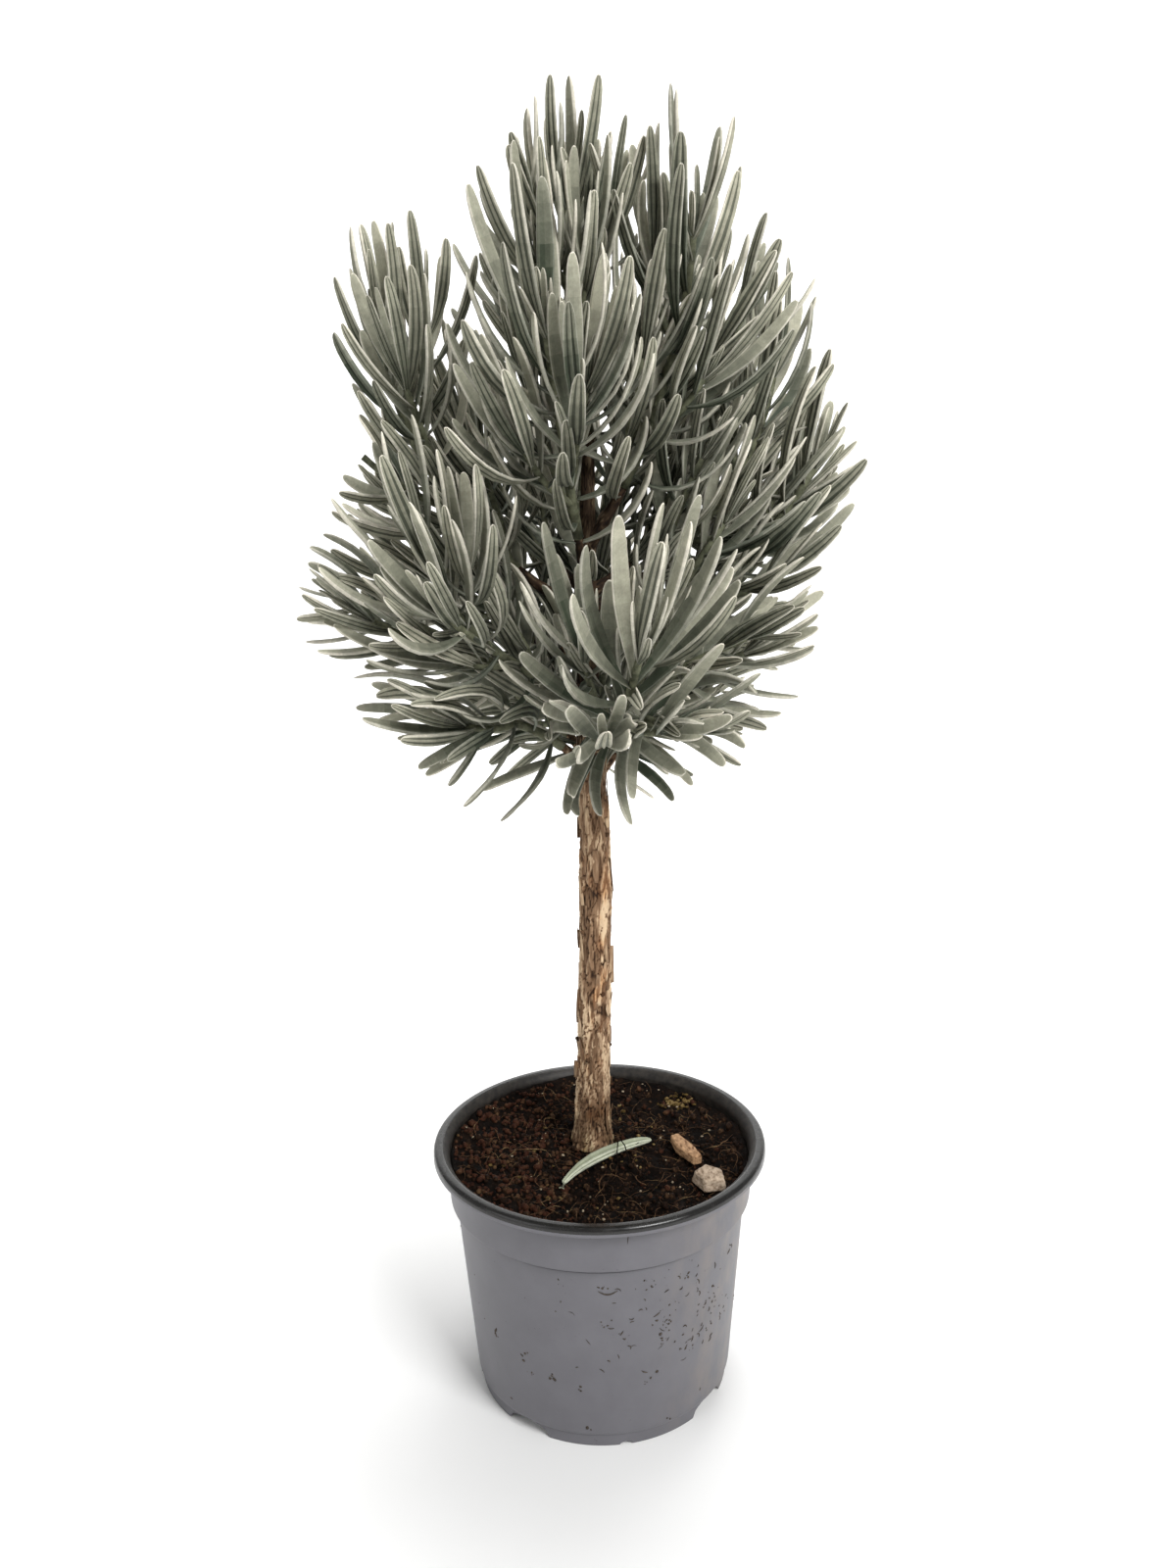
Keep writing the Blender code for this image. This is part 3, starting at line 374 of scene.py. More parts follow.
def settle(obj, slot, *nodes):
    """Makes a finished piece ride on the part and stand for solids by hiding the part's nodes; the slot is not used."""
    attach(obj, BODY)
    if nodes:
        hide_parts(*nodes)
    return obj


def applied(obj):
    """Replaces an object's mesh by its evaluated one and drops the modifiers."""
    graph = bpy.context.evaluated_depsgraph_get()
    mesh = bpy.data.meshes.new_from_object(obj.evaluated_get(graph))
    old = obj.data
    obj.modifiers.clear()
    obj.data = mesh
    bpy.data.meshes.remove(old)
    return obj


def lerp(low, high, share):
    return low + (high - low) * share


def smooth_step(low, high, value):
    share = min(max((value - low) / (high - low), 0.0), 1.0)
    return share * share * (3.0 - 2.0 * share)


def interpolated(table, share):
    for (s0, v0), (s1, v1) in zip(table, table[1:]):
        if share <= s1:
            return lerp(v0, v1, (share - s0) / (s1 - s0))
    return table[-1][1]


class Heap:
    """Gathers many small closed shapes into one mesh."""

    def __init__(self):
        self.points = []
        self.faces = []
        self.zones = []

    def add(self, points, faces, zone=0):
        start = len(self.points)
        self.points.extend(points)
        self.faces.extend([tuple(start + k for k in face) for face in faces])
        self.zones.extend([zone] * len(faces) if isinstance(zone, int) else zone)

    def object(self, name, materials, smooth=True):
        return new_mesh_object(name, [tuple(p) for p in self.points], self.faces, materials, self.zones, smooth)


def tube(points, radii, sides, bump=0.0, seed=0.0):
    """Points and faces of a closed round tube along a line of points, with small swellings."""
    side = crosswise(points[1] - points[0])
    verts = []
    for k, (point, radius) in enumerate(zip(points, radii)):
        ahead = (points[min(k + 1, len(points) - 1)] - points[max(k - 1, 0)]).normalized()
        side = (side - ahead * side.dot(ahead)).normalized()
        over = ahead.cross(side)
        for corner in range(sides):
            angle = 2.0 * math.pi * corner / sides
            way = side * math.cos(angle) + over * math.sin(angle)
            swell = bump * noise.noise((point + way * radius) / (3.0 * MM) + Vector((seed, 0.0, 0.0)))
            verts.append(point + way * (radius + swell))
    faces = [tuple(reversed(range(sides)))]
    for k in range(len(points) - 1):
        low = k * sides
        for corner in range(sides):
            after = (corner + 1) % sides
            faces.append((low + corner, low + after, low + sides + after, low + sides + corner))
    last = (len(points) - 1) * sides
    faces.append(tuple(range(last, last + sides)))
    return verts, faces


# Pot

def outer_radius(height):
    if height >= COLLAR_HEIGHT:
        top = POT_HEIGHT - LIP_DEPTH
        return COLLAR_RADIUS + COLLAR_FLARE * (height - COLLAR_HEIGHT) / (top - COLLAR_HEIGHT)
    if height >= SHOULDER_HEIGHT:
        share = (height - SHOULDER_HEIGHT) / (COLLAR_HEIGHT - SHOULDER_HEIGHT)
        return lerp(SHOULDER_RADIUS, COLLAR_RADIUS, share * share * (3.0 - 2.0 * share))
    return lerp(BASE_RADIUS, SHOULDER_RADIUS, (height - FLOOR_TOP) / (SHOULDER_HEIGHT - FLOOR_TOP))


def rounded(points, radius, steps=4):
    """A profile whose inner corners are rounded to about the radius."""
    path = [points[0]]
    for before, corner, after in zip(points, points[1:], points[2:]):
        a = Vector(before) - Vector(corner)
        b = Vector(after) - Vector(corner)
        reach = min(radius, 0.45 * a.length, 0.45 * b.length)
        start = Vector(corner) + a.normalized() * reach
        end = Vector(corner) + b.normalized() * reach
        for k in range(steps + 1):
            share = k / steps
            path.append(tuple(start.lerp(Vector(corner), share).lerp(Vector(corner).lerp(end, share), share)))
    path.append(points[-1])
    return path


def pot_profile():
    """The pot's section: up its inside, over the rolled lip and down outside to the pad underneath."""
    under = POT_HEIGHT - LIP_DEPTH
    bead = under - BEAD_DEPTH
    inner = outer_radius(under) - WALL
    foot_in = FOOT_RADIUS - FOOT_WIDTH
    pad = PAD_RADIUS - WALL
    points = [(0.0, PAD_THICKNESS), (pad, PAD_THICKNESS)]
    points.append((pad + PAD_SLOPE * (FLOOR_TOP - PAD_THICKNESS), FLOOR_TOP))
    points += [(outer_radius(h) - WALL, h) for h in (FLOOR_TOP, SHOULDER_HEIGHT, COLLAR_HEIGHT, under)]
    middle = 0.5 * (inner + RIM_RADIUS)
    half = 0.5 * (RIM_RADIUS - inner)
    lip_steps = 16
    for k in range(1, lip_steps + 1):
        angle = math.pi * (1.0 - k / lip_steps)
        power = LIP_POWERS[0] if math.cos(angle) < 0.0 else LIP_POWERS[1]
        across = math.copysign(abs(math.cos(angle)) ** power, math.cos(angle))
        up = max(math.sin(angle), 0.0) ** power
        points.append((middle + half * across, under + LIP_DEPTH * up))
    points += [(outer_radius(under) + BEAD_STEP, under - 0.2 * MM), (outer_radius(bead) + BEAD_STEP, bead)]
    points.append((outer_radius(bead), bead - 0.5 * MM))
    points += [(lerp(SHOULDER_RADIUS, COLLAR_RADIUS, part), height * MM) for height, part in COLLAR_STEP]
    points += [(BASE_RADIUS, FLOOR_TOP), (BASE_RADIUS - 0.5 * MM, FOOT_HEIGHT + 0.5 * MM), (FOOT_RADIUS, FOOT_HEIGHT)]
    points += [(FOOT_RADIUS, 0.0), (foot_in, 0.0), (foot_in, FLOOR_UNDERSIDE)]
    points += [(PAD_RADIUS + PAD_SLOPE * FLOOR_UNDERSIDE, FLOOR_UNDERSIDE), (PAD_RADIUS, 0.0), (0.0, 0.0)]
    return rounded(points, 0.45 * MM, 3)


def notch_cutter(index, width, height):
    """An arched bar that cuts a drain notch through the foot ring."""
    angle = math.radians(NOTCH_START + index * 180.0 / NOTCH_COUNT)
    steps = 12
    outline = [(-0.62 * width, -height)]
    for k in range(steps + 1):
        share = k / steps
        outline.append((lerp(-0.5, 0.5, share) * width * 1.06, height * math.sin(math.pi * share) ** 0.42))
    outline.append((0.62 * width, -height))
    form = bmesh.new()
    ends = []
    for reach in (-0.2 * FOOT_RADIUS, 0.12 * FOOT_RADIUS):
        ends.append([form.verts.new((reach, across, up)) for across, up in outline])
    count = len(outline)
    for k in range(count):
        after = (k + 1) % count
        form.faces.new((ends[0][k], ends[0][after], ends[1][after], ends[1][k]))
    form.faces.new(list(reversed(ends[0])))
    form.faces.new(ends[1])
    bmesh.ops.recalc_face_normals(form, faces=form.faces)
    mesh = bpy.data.meshes.new("notch")
    form.to_mesh(mesh)
    form.free()
    cutter = bpy.data.objects.new("notch", mesh)
    cutter.location = (FOOT_RADIUS * math.cos(angle), FOOT_RADIUS * math.sin(angle), 0.0)
    cutter.rotation_euler = (0.0, 0.0, angle)
    bpy.context.scene.collection.objects.link(cutter)
    return cutter


def drain_cutter(index):
    angle = 2.0 * math.pi * (index + 0.5) / DRAIN_COUNT
    form = bmesh.new()
    wide = DRAIN_RADIUS
    bmesh.ops.create_cone(form, cap_ends=True, segments=32, radius1=wide, radius2=wide, depth=10.0 * MM)
    mesh = bpy.data.meshes.new("drain")
    form.to_mesh(mesh)
    form.free()
    cutter = bpy.data.objects.new("drain", mesh)
    cutter.location = (DRAIN_CIRCLE * math.cos(angle), DRAIN_CIRCLE * math.sin(angle), FLOOR_TOP)
    bpy.context.scene.collection.objects.link(cutter)
    return cutter


def polypropylene_outside(settings):
    """Moulded grey polypropylene: satin, faintly mottled, with patches of tan dust on its right side that also paint
    that side lighter and warmer as painted light.
    """
    values = {"Roughness": 0.46, "IOR": 1.49, "Specular_IOR_Level": 0.42}
    material, tree, shader = new_material("polypropylene moulded blue-grey", **values)
    place = position(tree)
    mottle = grain(tree, place, 14.0 * MM, 4.0)
    colour = linear(settings.wall)
    shade = add_node(tree, "ShaderNodeValToRGB", {"stops": (
        (0.30, tuple(c * 0.93 for c in colour[:3]) + (1.0,)),
        (0.70, tuple(c * 1.05 for c in colour[:3]) + (1.0,)),
    )}, {"Fac": mottle.outputs["Fac"]})
    split = add_node(tree, "ShaderNodeSeparateXYZ", (), {0: place})
    # Tan dust and painted light: the wall's right side is made lighter and warmer in patches.
    side = add_node(tree, "ShaderNodeMapRange", {"From Min": 18.0 * MM, "From Max": 58.0 * MM}, {0: split.outputs["X"]})
    patches = grain(tree, place, 9.0 * MM, 6.0, (1.0, 1.0, 0.45))
    patchy = add_node(tree, "ShaderNodeMapRange", {"From Min": 0.42, "From Max": 0.68}, {0: patches.outputs["Fac"]})
    dust_and_light_mask = add_node(tree, "ShaderNodeMath", {"operation": "MULTIPLY"}, {0: side.outputs[0], 1: patchy.outputs[0]})
    faint = add_node(tree, "ShaderNodeMath", {"operation": "MULTIPLY", 1: 0.5}, {0: dust_and_light_mask.outputs[0]})
    dust_and_light_colour = add_node(tree, "ShaderNodeMix", {"data_type": "RGBA", 7: linear(settings.dust)},
                     {0: faint.outputs[0], 6: shade.outputs["Color"]})
    specks = grain(tree, place, 1.1 * MM, 2.0)
    dots = add_node(tree, "ShaderNodeMapRange", {"From Min": 0.70, "From Max": 0.76}, {0: specks.outputs["Fac"]})
    where = grain(tree, place, 16.0 * MM, 2.0)
    near = add_node(tree, "ShaderNodeMapRange", {"From Min": 0.50, "From Max": 0.64}, {0: where.outputs["Fac"]})
    stain = add_node(tree, "ShaderNodeMath", {"operation": "MULTIPLY"}, {0: dots.outputs[0], 1: near.outputs[0]})
    marked = add_node(tree, "ShaderNodeMix", {"data_type": "RGBA", 7: linear(settings.mark)},
                      {0: stain.outputs[0], 6: dust_and_light_colour.outputs[2]})
    connect(tree, marked.outputs[2], shader, "Base Color")
    fine = grain(tree, place, 0.5 * MM, 2.0)
    bump = add_node(tree, "ShaderNodeBump", {"Strength": 0.12, "Distance": 0.1 * MM}, {"Height": fine.outputs["Fac"]})
    connect(tree, bump.outputs[0], shader, "Normal")
    return material


def polypropylene_lip(settings):
    """Moulded charcoal polypropylene, glossy where the lip is rolled, with dusty streaks."""
    values = {"Roughness": 0.24, "IOR": 1.49, "Specular_IOR_Level": 0.5}
    material, tree, shader = new_material("polypropylene moulded charcoal gloss", **values)
    place = position(tree)
    cloud = grain(tree, place, 7.0 * MM, 5.0)
    colour = linear(settings.lip)
    shade = add_node(tree, "ShaderNodeValToRGB", {"stops": (
        (0.35, tuple(c * 0.8 for c in colour[:3]) + (1.0,)),
        (0.75, tuple(c * 1.25 for c in colour[:3]) + (1.0,)),
    )}, {"Fac": cloud.outputs["Fac"]})
    connect(tree, shade.outputs["Color"], shader, "Base Color")
    rough = add_node(tree, "ShaderNodeMapRange", {"From Min": 0.3, "From Max": 0.7, "To Min": 0.16, "To Max": 0.34},
                     {0: cloud.outputs["Fac"]})
    connect(tree, rough.outputs[0], shader, "Roughness")
    return material


def polypropylene_shaded_inside(settings):
    """Charcoal polypropylene darkened with painted shade over the inside and the lip's inner half, faintly mottled, so
    that only the lip's outer half shines.
    """
    material, tree, shader = new_material("polypropylene soiled inside", Roughness=0.55, IOR=1.45)
    film = grain(tree, position(tree), 3.0 * MM, 4.0)
    shade = add_node(tree, "ShaderNodeValToRGB", {"stops": (
        (0.35, linear(settings.soiled)), (0.75, between(settings.soiled, settings.dust, 0.12)),
    )}, {"Fac": film.outputs["Fac"]})
    connect(tree, shade.outputs["Color"], shader, "Base Color")
    return material


def build_pot(settings):
    profile = pot_profile()
    mesh = bpy.data.meshes.new("pot_shell")
    mesh.from_pydata([(r, 0.0, z) for r, z in profile], [(k, k + 1) for k in range(len(profile) - 1)], [])
    pot = bpy.data.objects.new("pot_shell", mesh)
    bpy.context.scene.collection.objects.link(pot)
    screw = pot.modifiers.new("Turn", "SCREW")
    screw.axis = "Z"
    screw.steps = settings.segments
    screw.render_steps = settings.segments
    screw.use_merge_vertices = True
    screw.merge_threshold = 0.00001
    cutters = []
    for index in range(2 * NOTCH_COUNT):
        cutters.append(notch_cutter(index, *(SMALL_NOTCH if index % 2 else BIG_NOTCH)))
    cutters += [drain_cutter(index) for index in range(DRAIN_COUNT)]
    for cutter in cutters:
        boolean = pot.modifiers.new("Cut", "BOOLEAN")
        boolean.operation = "DIFFERENCE"
        boolean.solver = "MANIFOLD"
        boolean.object = cutter
    applied(pot)
    for cutter in cutters:
        bpy.data.objects.remove(cutter, do_unlink=True)
    pot.data.materials.clear()
    pot.data.materials.append(polypropylene_outside(settings))
    pot.data.materials.append(polypropylene_lip(settings))
    pot.data.materials.append(polypropylene_shaded_inside(settings))
    lip_edge = POT_HEIGHT - GREY_BELOW
    for face in pot.data.polygons:
        centre = face.center
        wall = outer_radius(max(centre.z, FLOOR_TOP)) - 0.7 * WALL
        outside = math.hypot(centre.x, centre.y) > (wall if centre.z < POT_HEIGHT - LIP_DEPTH - 0.1 * MM else LIP_FACE)
        foot = centre.z < FLOOR_UNDERSIDE
        # Painted shade: faces inside the pot and on the lip's inner half take the darkened material.
        inner = math.hypot(centre.x, centre.y) < SHADED_INSIDE_RADIUS and centre.z > FLOOR_TOP
        face.material_index = 0 if (outside or foot) and centre.z < lip_edge else (2 if inner else 1)
    pot.data.shade_smooth()
    pot.data.set_sharp_from_angle(angle=math.radians(40.0))
    return settle(pot, "pot_plastic", "pot")


def clod(draw, size, flat=1.0, sharp=0.22):
    """Points and faces of a small irregular lump, centred on the origin."""
    form = bmesh.new()
    bmesh.ops.create_icosphere(form, subdivisions=1, radius=0.5 * size)
    stretch = Vector((draw.uniform(0.6, 1.3), draw.uniform(0.6, 1.1), flat * draw.uniform(0.7, 1.1)))
    for vertex in form.verts:
        vertex.co *= 1.0 + draw.uniform(-sharp, sharp)
        vertex.co = Vector(a * b for a, b in zip(vertex.co, stretch))
    points = [v.co.copy() for v in form.verts]
    faces = [tuple(v.index for v in face.verts) for face in form.faces]
    form.free()
    return points, faces


def dried_peat(settings):
    """Peat dried on plastic: matt near-black brown lumps."""
    material, tree, shader = new_material("peat dried on plastic", Roughness=0.9, IOR=1.5)
    lumps = grain(tree, position(tree), 1.2 * MM, 3.0)
    shade = add_node(tree, "ShaderNodeValToRGB", {"stops": (
        (0.3, linear(settings.mark)), (0.8, between(settings.mark, settings.dust, 0.35)),
    )}, {"Fac": lumps.outputs["Fac"]})
    connect(tree, shade.outputs["Color"], shader, "Base Color")
    return material


def build_dirt(settings):
    """Lumps, hairs and smears of peat that have dried on the pot's wall."""
    draw = random.Random("dirt on the wall")
    heap = Heap()
    for azimuth, height, spread, count, size in DIRT:
        for _ in range(count):
            z = min(max(height * MM + draw.gauss(0.0, spread) * MM, 1.0 * MM), SHOULDER_HEIGHT - 1.0 * MM)
            radius = outer_radius(z) if z > FOOT_HEIGHT + 1.0 * MM else FOOT_RADIUS
            angle = math.radians(azimuth) + draw.gauss(0.0, spread) * MM / radius
            points, faces = clod(draw, size * MM * draw.uniform(0.45, 1.25), 0.28, 0.3)
            turn = Matrix.Rotation(angle, 3, "Z") @ Matrix.Rotation(math.radians(90.0), 3, "Y")
            turn = turn @ Matrix.Rotation(draw.uniform(0.0, math.pi), 3, "Z")
            spot = Vector((radius * math.cos(angle), radius * math.sin(angle), z))
            heap.add([spot + turn @ p for p in points], faces)
    for azimuth, height, wide, bow, thick in ((-88, 75.0, 7.5, -1.6, 0.34), (-81, 97.0, 0.4, 4.6, 0.2),
                                              (-139, 41.0, 1.2, 2.6, 0.5), (-83, 54.0, 1.2, 2.0, 0.3)):
        line = []
        for k in range(9):
            share = k / 8
            z = height * MM + (bow * MM * share if wide < 2.0 else bow * MM * math.sin(math.pi * share))
            radius = outer_radius(z) + 0.05 * MM
            angle = math.radians(azimuth) + (share - 0.5) * wide * MM / radius
            line.append(Vector((radius * math.cos(angle), radius * math.sin(angle), z)))
        heap.add(*tube(line, [thick * MM * (0.4 + 0.6 * math.sin(math.pi * k / 8)) for k in range(9)], 5))
    for _ in range(settings.strokes):
        z = draw.uniform(34.0, 78.0) * MM
        radius = outer_radius(z) + 0.04 * MM
        angle = math.radians(draw.gauss(-62.0, 19.0))
        heading = draw.uniform(-1.2, 1.2)
        curl = draw.uniform(-2.6, 2.6)
        length = MM * draw.uniform(1.0, 3.4)
        thick = MM * draw.uniform(0.12, 0.3)
        line = []
        for k in range(7):
            line.append(Vector((radius * math.cos(angle), radius * math.sin(angle), z)))
            angle += math.cos(heading + curl * k / 6) * length / 6 / radius
            z += math.sin(heading + curl * k / 6) * length / 6
            radius = outer_radius(z) + 0.04 * MM
        heap.add(*tube(line, [thick * (0.35 + 0.65 * math.sin(math.pi * k / 6)) for k in range(7)], 5))
    piece = heap.object("wall_dirt", [dried_peat(settings)])
    return settle(piece, "soil")


# Peat

def soil_level(x, y):
    """The source's surface: low waves, a flat seat round the trunk and a heap at the wall."""
    waves = 0.0
    for length, heading, height in SOIL_WAVES:
        turn = math.radians(heading)
        along = x * math.cos(turn) + y * math.sin(turn)
        waves += height * math.sin(2.0 * math.pi * along / length + turn)
    away = math.hypot(x - TRUNK_FOOT.x, y - TRUNK_FOOT.y)
    waves *= min(max((away - SEAT_RADIUS) / SEAT_FADE, 0.0), 1.0)
    side = 0.5 + 0.5 * math.cos(math.atan2(y, x) - math.radians(HEAP_HEADING))
    heap = lerp(*HEAP_HEIGHTS, side) * (math.hypot(x, y) / COLLAR_RADIUS) ** HEAP_POWER
    return SOIL_HEIGHT + waves + heap


def peat_height(x, y):
    """The bed's surface: the source's waves with crumbly relief on top."""
    place = Vector((x, y, 0.0))
    crumb = noise.fractal(place / (4.2 * MM), 0.9, 2.1, 5)
    ridge = 0.5 - abs(noise.noise(place / (7.5 * MM) + Vector((3.1, 7.7, 0.0))))
    return soil_level(x, y) - 0.7 * MM + 1.1 * MM * crumb + 1.2 * MM * ridge


def peat(name, code, light, roughness):
    """Moist peat: crumbs of near-black to reddish brown with a damp sheen."""
    material, tree, shader = new_material(name, Roughness=roughness, IOR=1.4, Specular_IOR_Level=0.12)
    place = position(tree)
    broad = grain(tree, place, 5.0 * MM, 5.0)
    fine = grain(tree, place, 0.8 * MM, 3.0)
    total = add_node(tree, "ShaderNodeMath", {"operation": "MULTIPLY_ADD", 1: 0.5},
                     {0: fine.outputs["Fac"], 2: broad.outputs["Fac"]})
    shade = add_node(tree, "ShaderNodeValToRGB", {"stops": (
        (0.52, between("#000000", code, 0.12)), (0.76, linear(code)), (1.0, linear(light)),
    )}, {"Fac": total.outputs[0]})
    connect(tree, shade.outputs["Color"], shader, "Base Color")
    bump = add_node(tree, "ShaderNodeBump", {"Strength": 0.5, "Distance": 0.3 * MM}, {"Height": fine.outputs["Fac"]})
    connect(tree, bump.outputs[0], shader, "Normal")
    return material


def build_peat_bed(settings):
    """The bed: a relief grid over the pot's round, with a skirt that follows the wall to the floor."""
    rings, spokes = settings.rings, settings.spokes
    edge = outer_radius(SOIL_HEIGHT) - WALL - 0.5 * CLEAR
    points = [Vector((0.0, 0.0, peat_height(0.0, 0.0)))]
    for ring in range(1, rings + 1):
        radius = edge * ring / rings
        for spoke in range(spokes):
            angle = 2.0 * math.pi * spoke / spokes
            x = radius * math.cos(angle)
            y = radius * math.sin(angle)
            points.append(Vector((x, y, peat_height(x, y))))
    faces = [(0, 1 + k, 1 + (k + 1) % spokes) for k in range(spokes)]
    for height in (COLLAR_HEIGHT, SHOULDER_HEIGHT, FLOOR_TOP + CLEAR):
        for spoke in range(spokes):
            angle = 2.0 * math.pi * spoke / spokes
            radius = outer_radius(height) - WALL - CLEAR
            points.append(Vector((radius * math.cos(angle), radius * math.sin(angle), height)))
    for ring in range(rings + 2):
        low = 1 + ring * spokes
        for k in range(spokes):
            after = (k + 1) % spokes
            faces.append((low + k, low + spokes + k, low + spokes + after, low + after))
    last = 1 + (rings + 2) * spokes
    faces.append(tuple(last + k for k in reversed(range(spokes))))
    material = peat("peat moist crumbled", settings.peat, settings.crumb, 0.85)
    bed = new_mesh_object("peat_bed", points, faces, [material])
    return settle(bed, "soil", "soil")


def keep_clear(x, y):
    """True where a crumb would lie in the trunk's foot or past the wall."""
    trunk = math.hypot(x - TRUNK_FOOT.x, y - TRUNK_FOOT.y) < 8.6 * MM
    return trunk or math.hypot(x, y) > outer_radius(SOIL_HEIGHT) - WALL - 1.2 * MM


def build_crumbs(settings):
    """Crumbs and granules of peat, redder on the left, and pale mossy lumps at the back right."""
    draw = random.Random("crumbs")
    heap = Heap()
    reach = outer_radius(SOIL_HEIGHT)
    while len(heap.zones) < 20 * settings.crumbs:
        x = draw.uniform(-reach, reach)
        y = draw.uniform(-reach, reach)
        if keep_clear(x, y):
            continue
        redness = smooth_step(0.0, -0.03, x)
        size = MM * min(0.7 + 0.9 * redness + draw.expovariate(1.0 / 0.68), 3.6)
        points, faces = clod(draw, size)
        turn = Matrix.Rotation(draw.uniform(0.0, 6.28), 3, "Z") @ Matrix.Rotation(draw.uniform(0.0, 6.28), 3, "X")
        spot = Vector((x, y, peat_height(x, y) + draw.uniform(-0.15, 0.35) * size))
        zone = 1 if draw.random() < 0.12 + 0.6 * redness else 0
        if draw.random() < 0.02:
            zone = 2
        heap.add([spot + turn @ p for p in points], faces, zone)
    for index in range(settings.foot_crumbs):
        angle = draw.uniform(0.0, 2.0 * math.pi)
        size = MM * draw.uniform(1.2, 3.2)
        away = 9.3 * MM + 0.5 * size + MM * draw.expovariate(1.0 / 1.2)
        x, y = TRUNK_FOOT.x + away * math.cos(angle), TRUNK_FOOT.y + away * math.sin(angle)
        points, faces = clod(draw, size)
        spot = Vector((x, y, peat_height(x, y) + draw.uniform(0.0, 0.7) * size))
        heap.add([spot + p for p in points], faces, 1 if draw.random() < 0.3 else 0)
    for index in range(settings.moss_lumps):
        if index % 3:
            x, y = 37.0 * MM + draw.gauss(0.0, 4.0) * MM, 43.0 * MM + draw.gauss(0.0, 3.0) * MM
        else:
            angle = draw.uniform(0.0, 6.28)
            x, y = 50.0 * MM * math.cos(angle) * draw.random(), 50.0 * MM * math.sin(angle) * draw.random()
        if keep_clear(x, y):
            continue
        points, faces = clod(draw, MM * draw.uniform(1.0, 2.4), 0.8, 0.3)
        spot = Vector((x, y, peat_height(x, y) + draw.uniform(0.2, 1.0) * MM))
        heap.add([spot + p for p in points], faces, 3)
    for _ in range(settings.grains):
        x = draw.uniform(-reach, reach)
        y = draw.uniform(-reach, reach)
        if keep_clear(x, y):
            continue
        points, faces = clod(draw, MM * draw.uniform(0.4, 1.3), 0.9, 0.25)
        spot = Vector((x, y, peat_height(x, y) + draw.uniform(0.6, 1.6) * MM))
        heap.add([spot + p for p in points], faces, 4)
    materials = [
        peat("peat crumb dark", settings.crumb, settings.fibre, 0.75),
        peat("peat crumb red-brown", settings.red_crumb, settings.fibre, 0.7),
        peat("peat crumb straw", settings.fibre, settings.moss, 0.8),
        peat("moss clump dry", settings.moss, settings.pale_moss, 0.9),
        peat("perlite grain", settings.perlite, settings.perlite, 0.9),
    ]
    return settle(heap.object("peat_crumbs", materials), "soil")


def build_rootlets(settings):
    """Rootlets and fibres that arch out of the bed and lie over it."""
    draw = random.Random("rootlets")
    heap = Heap()
    reach = outer_radius(SOIL_HEIGHT) - 5.0 * MM
    for index in range(settings.rootlets):
        angle = draw.uniform(0.0, 6.28)
        away = reach * math.sqrt(draw.random())
        heading = draw.uniform(0.0, 6.28)
        length = MM * draw.uniform(5.0, 21.0)
        bend = draw.uniform(-2.2, 2.2)
        lift = MM * abs(draw.gauss(0.0, 1.2))
        thick = MM * draw.uniform(0.07, 0.16) * (2.3 if index % 17 == 0 else 1.0)
        x, y = away * math.cos(angle), away * math.sin(angle)
        line = []
        steps = 11
        for k in range(steps):
            share = k / (steps - 1)
            turn = heading + bend * share + 0.5 * math.sin(5.0 * share + index)
            x += math.cos(turn) * length / steps
            y += math.sin(turn) * length / steps
            if math.hypot(x, y) > reach + 3.0 * MM or keep_clear(x, y):
                break
            rise = math.sin(math.pi * share) * lift + (0.5 - abs(share - 0.5)) * 1.0 * MM
            line.append(Vector((x, y, max(peat_height(x, y), soil_level(x, y) - 0.3 * MM) + 0.2 * MM + rise)))
        if len(line) > 4:
            count = len(line) - 1
            radii = [thick * (0.35 + 0.65 * math.sin(math.pi * min(k / count + 0.12, 1.0))) for k in range(count + 1)]
            heap.add(*tube(line, radii, 5), draw.choice((0, 0, 1)))
    line = [Vector(point) * MM for point in BENT_FIBRE]
    line = [a.lerp(b, k / 4) for a, b in zip(line, line[1:]) for k in range(4)]
    heap.add(*tube(line, [0.26 * MM] * len(line), 6), 2)
    materials = [
        peat("rootlet dry tan", settings.rootlet, settings.pale_moss, 0.7),
        peat("rootlet dark brown", settings.fibre, settings.rootlet, 0.7),
        peat("rootlet damp black-brown", settings.peat, settings.crumb, 0.6),
    ]
    return settle(heap.object("rootlets", materials), "soil")


# Trunk and boughs

def trunk_point(share):
    point = TRUNK_FOOT.lerp(TRUNK_TIP, share)
    point.x += TRUNK_BOW * math.sin(math.pi * share) * math.sin(TRUNK_WAVES * share)
    return point


def trunk_radius(share):
    return interpolated(TRUNK_TAPER, share) * MM


def trunk_share(height):
    return (height - TRUNK_FOOT.z) / (TRUNK_TIP.z - TRUNK_FOOT.z)


def outward(azimuth, slope):
    azimuth = math.radians(azimuth)
    slope = math.radians(slope)
    flat = Vector((math.cos(azimuth), math.sin(azimuth), 0.0))
    return flat * math.cos(slope) + UP * math.sin(slope)


def limb_run(foot, apex, tip_direction):
    """A limb's course from the trunk to its apex, as a curve that turns into the tip's direction."""
    bend = apex - tip_direction * TURN_SHARE * (apex - foot).length

    def at(share):
        return foot.lerp(bend, share).lerp(bend.lerp(apex, share), share)
    return at


def mass_run(row):
    azimuth, reach, height, foot_height, slope = row[1:6]
    foot = trunk_point(trunk_share(foot_height * MM))
    apex = Vector((0.0, CROWN_AXIS_Y, height * MM)) + outward(azimuth, 0.0) * reach * MM
    return limb_run(foot, apex, outward(azimuth, slope))


def crosswise(direction):
    side = direction.cross(UP)
    if side.length < 0.05:
        side = direction.cross(Vector((0.0, 1.0, 0.0)))
    return side.normalized()


def stations(path, count):
    return [path(k / (count - 1)) for k in range(count)]


def tapered(radii, count):
    return [lerp(*radii, k / (count - 1)) for k in range(count)]


def stretched(point, across, along):
    """A point's place in a pattern whose real size is given across and along the wood."""
    return Vector((point.x / across, point.y / across, point.z / along))


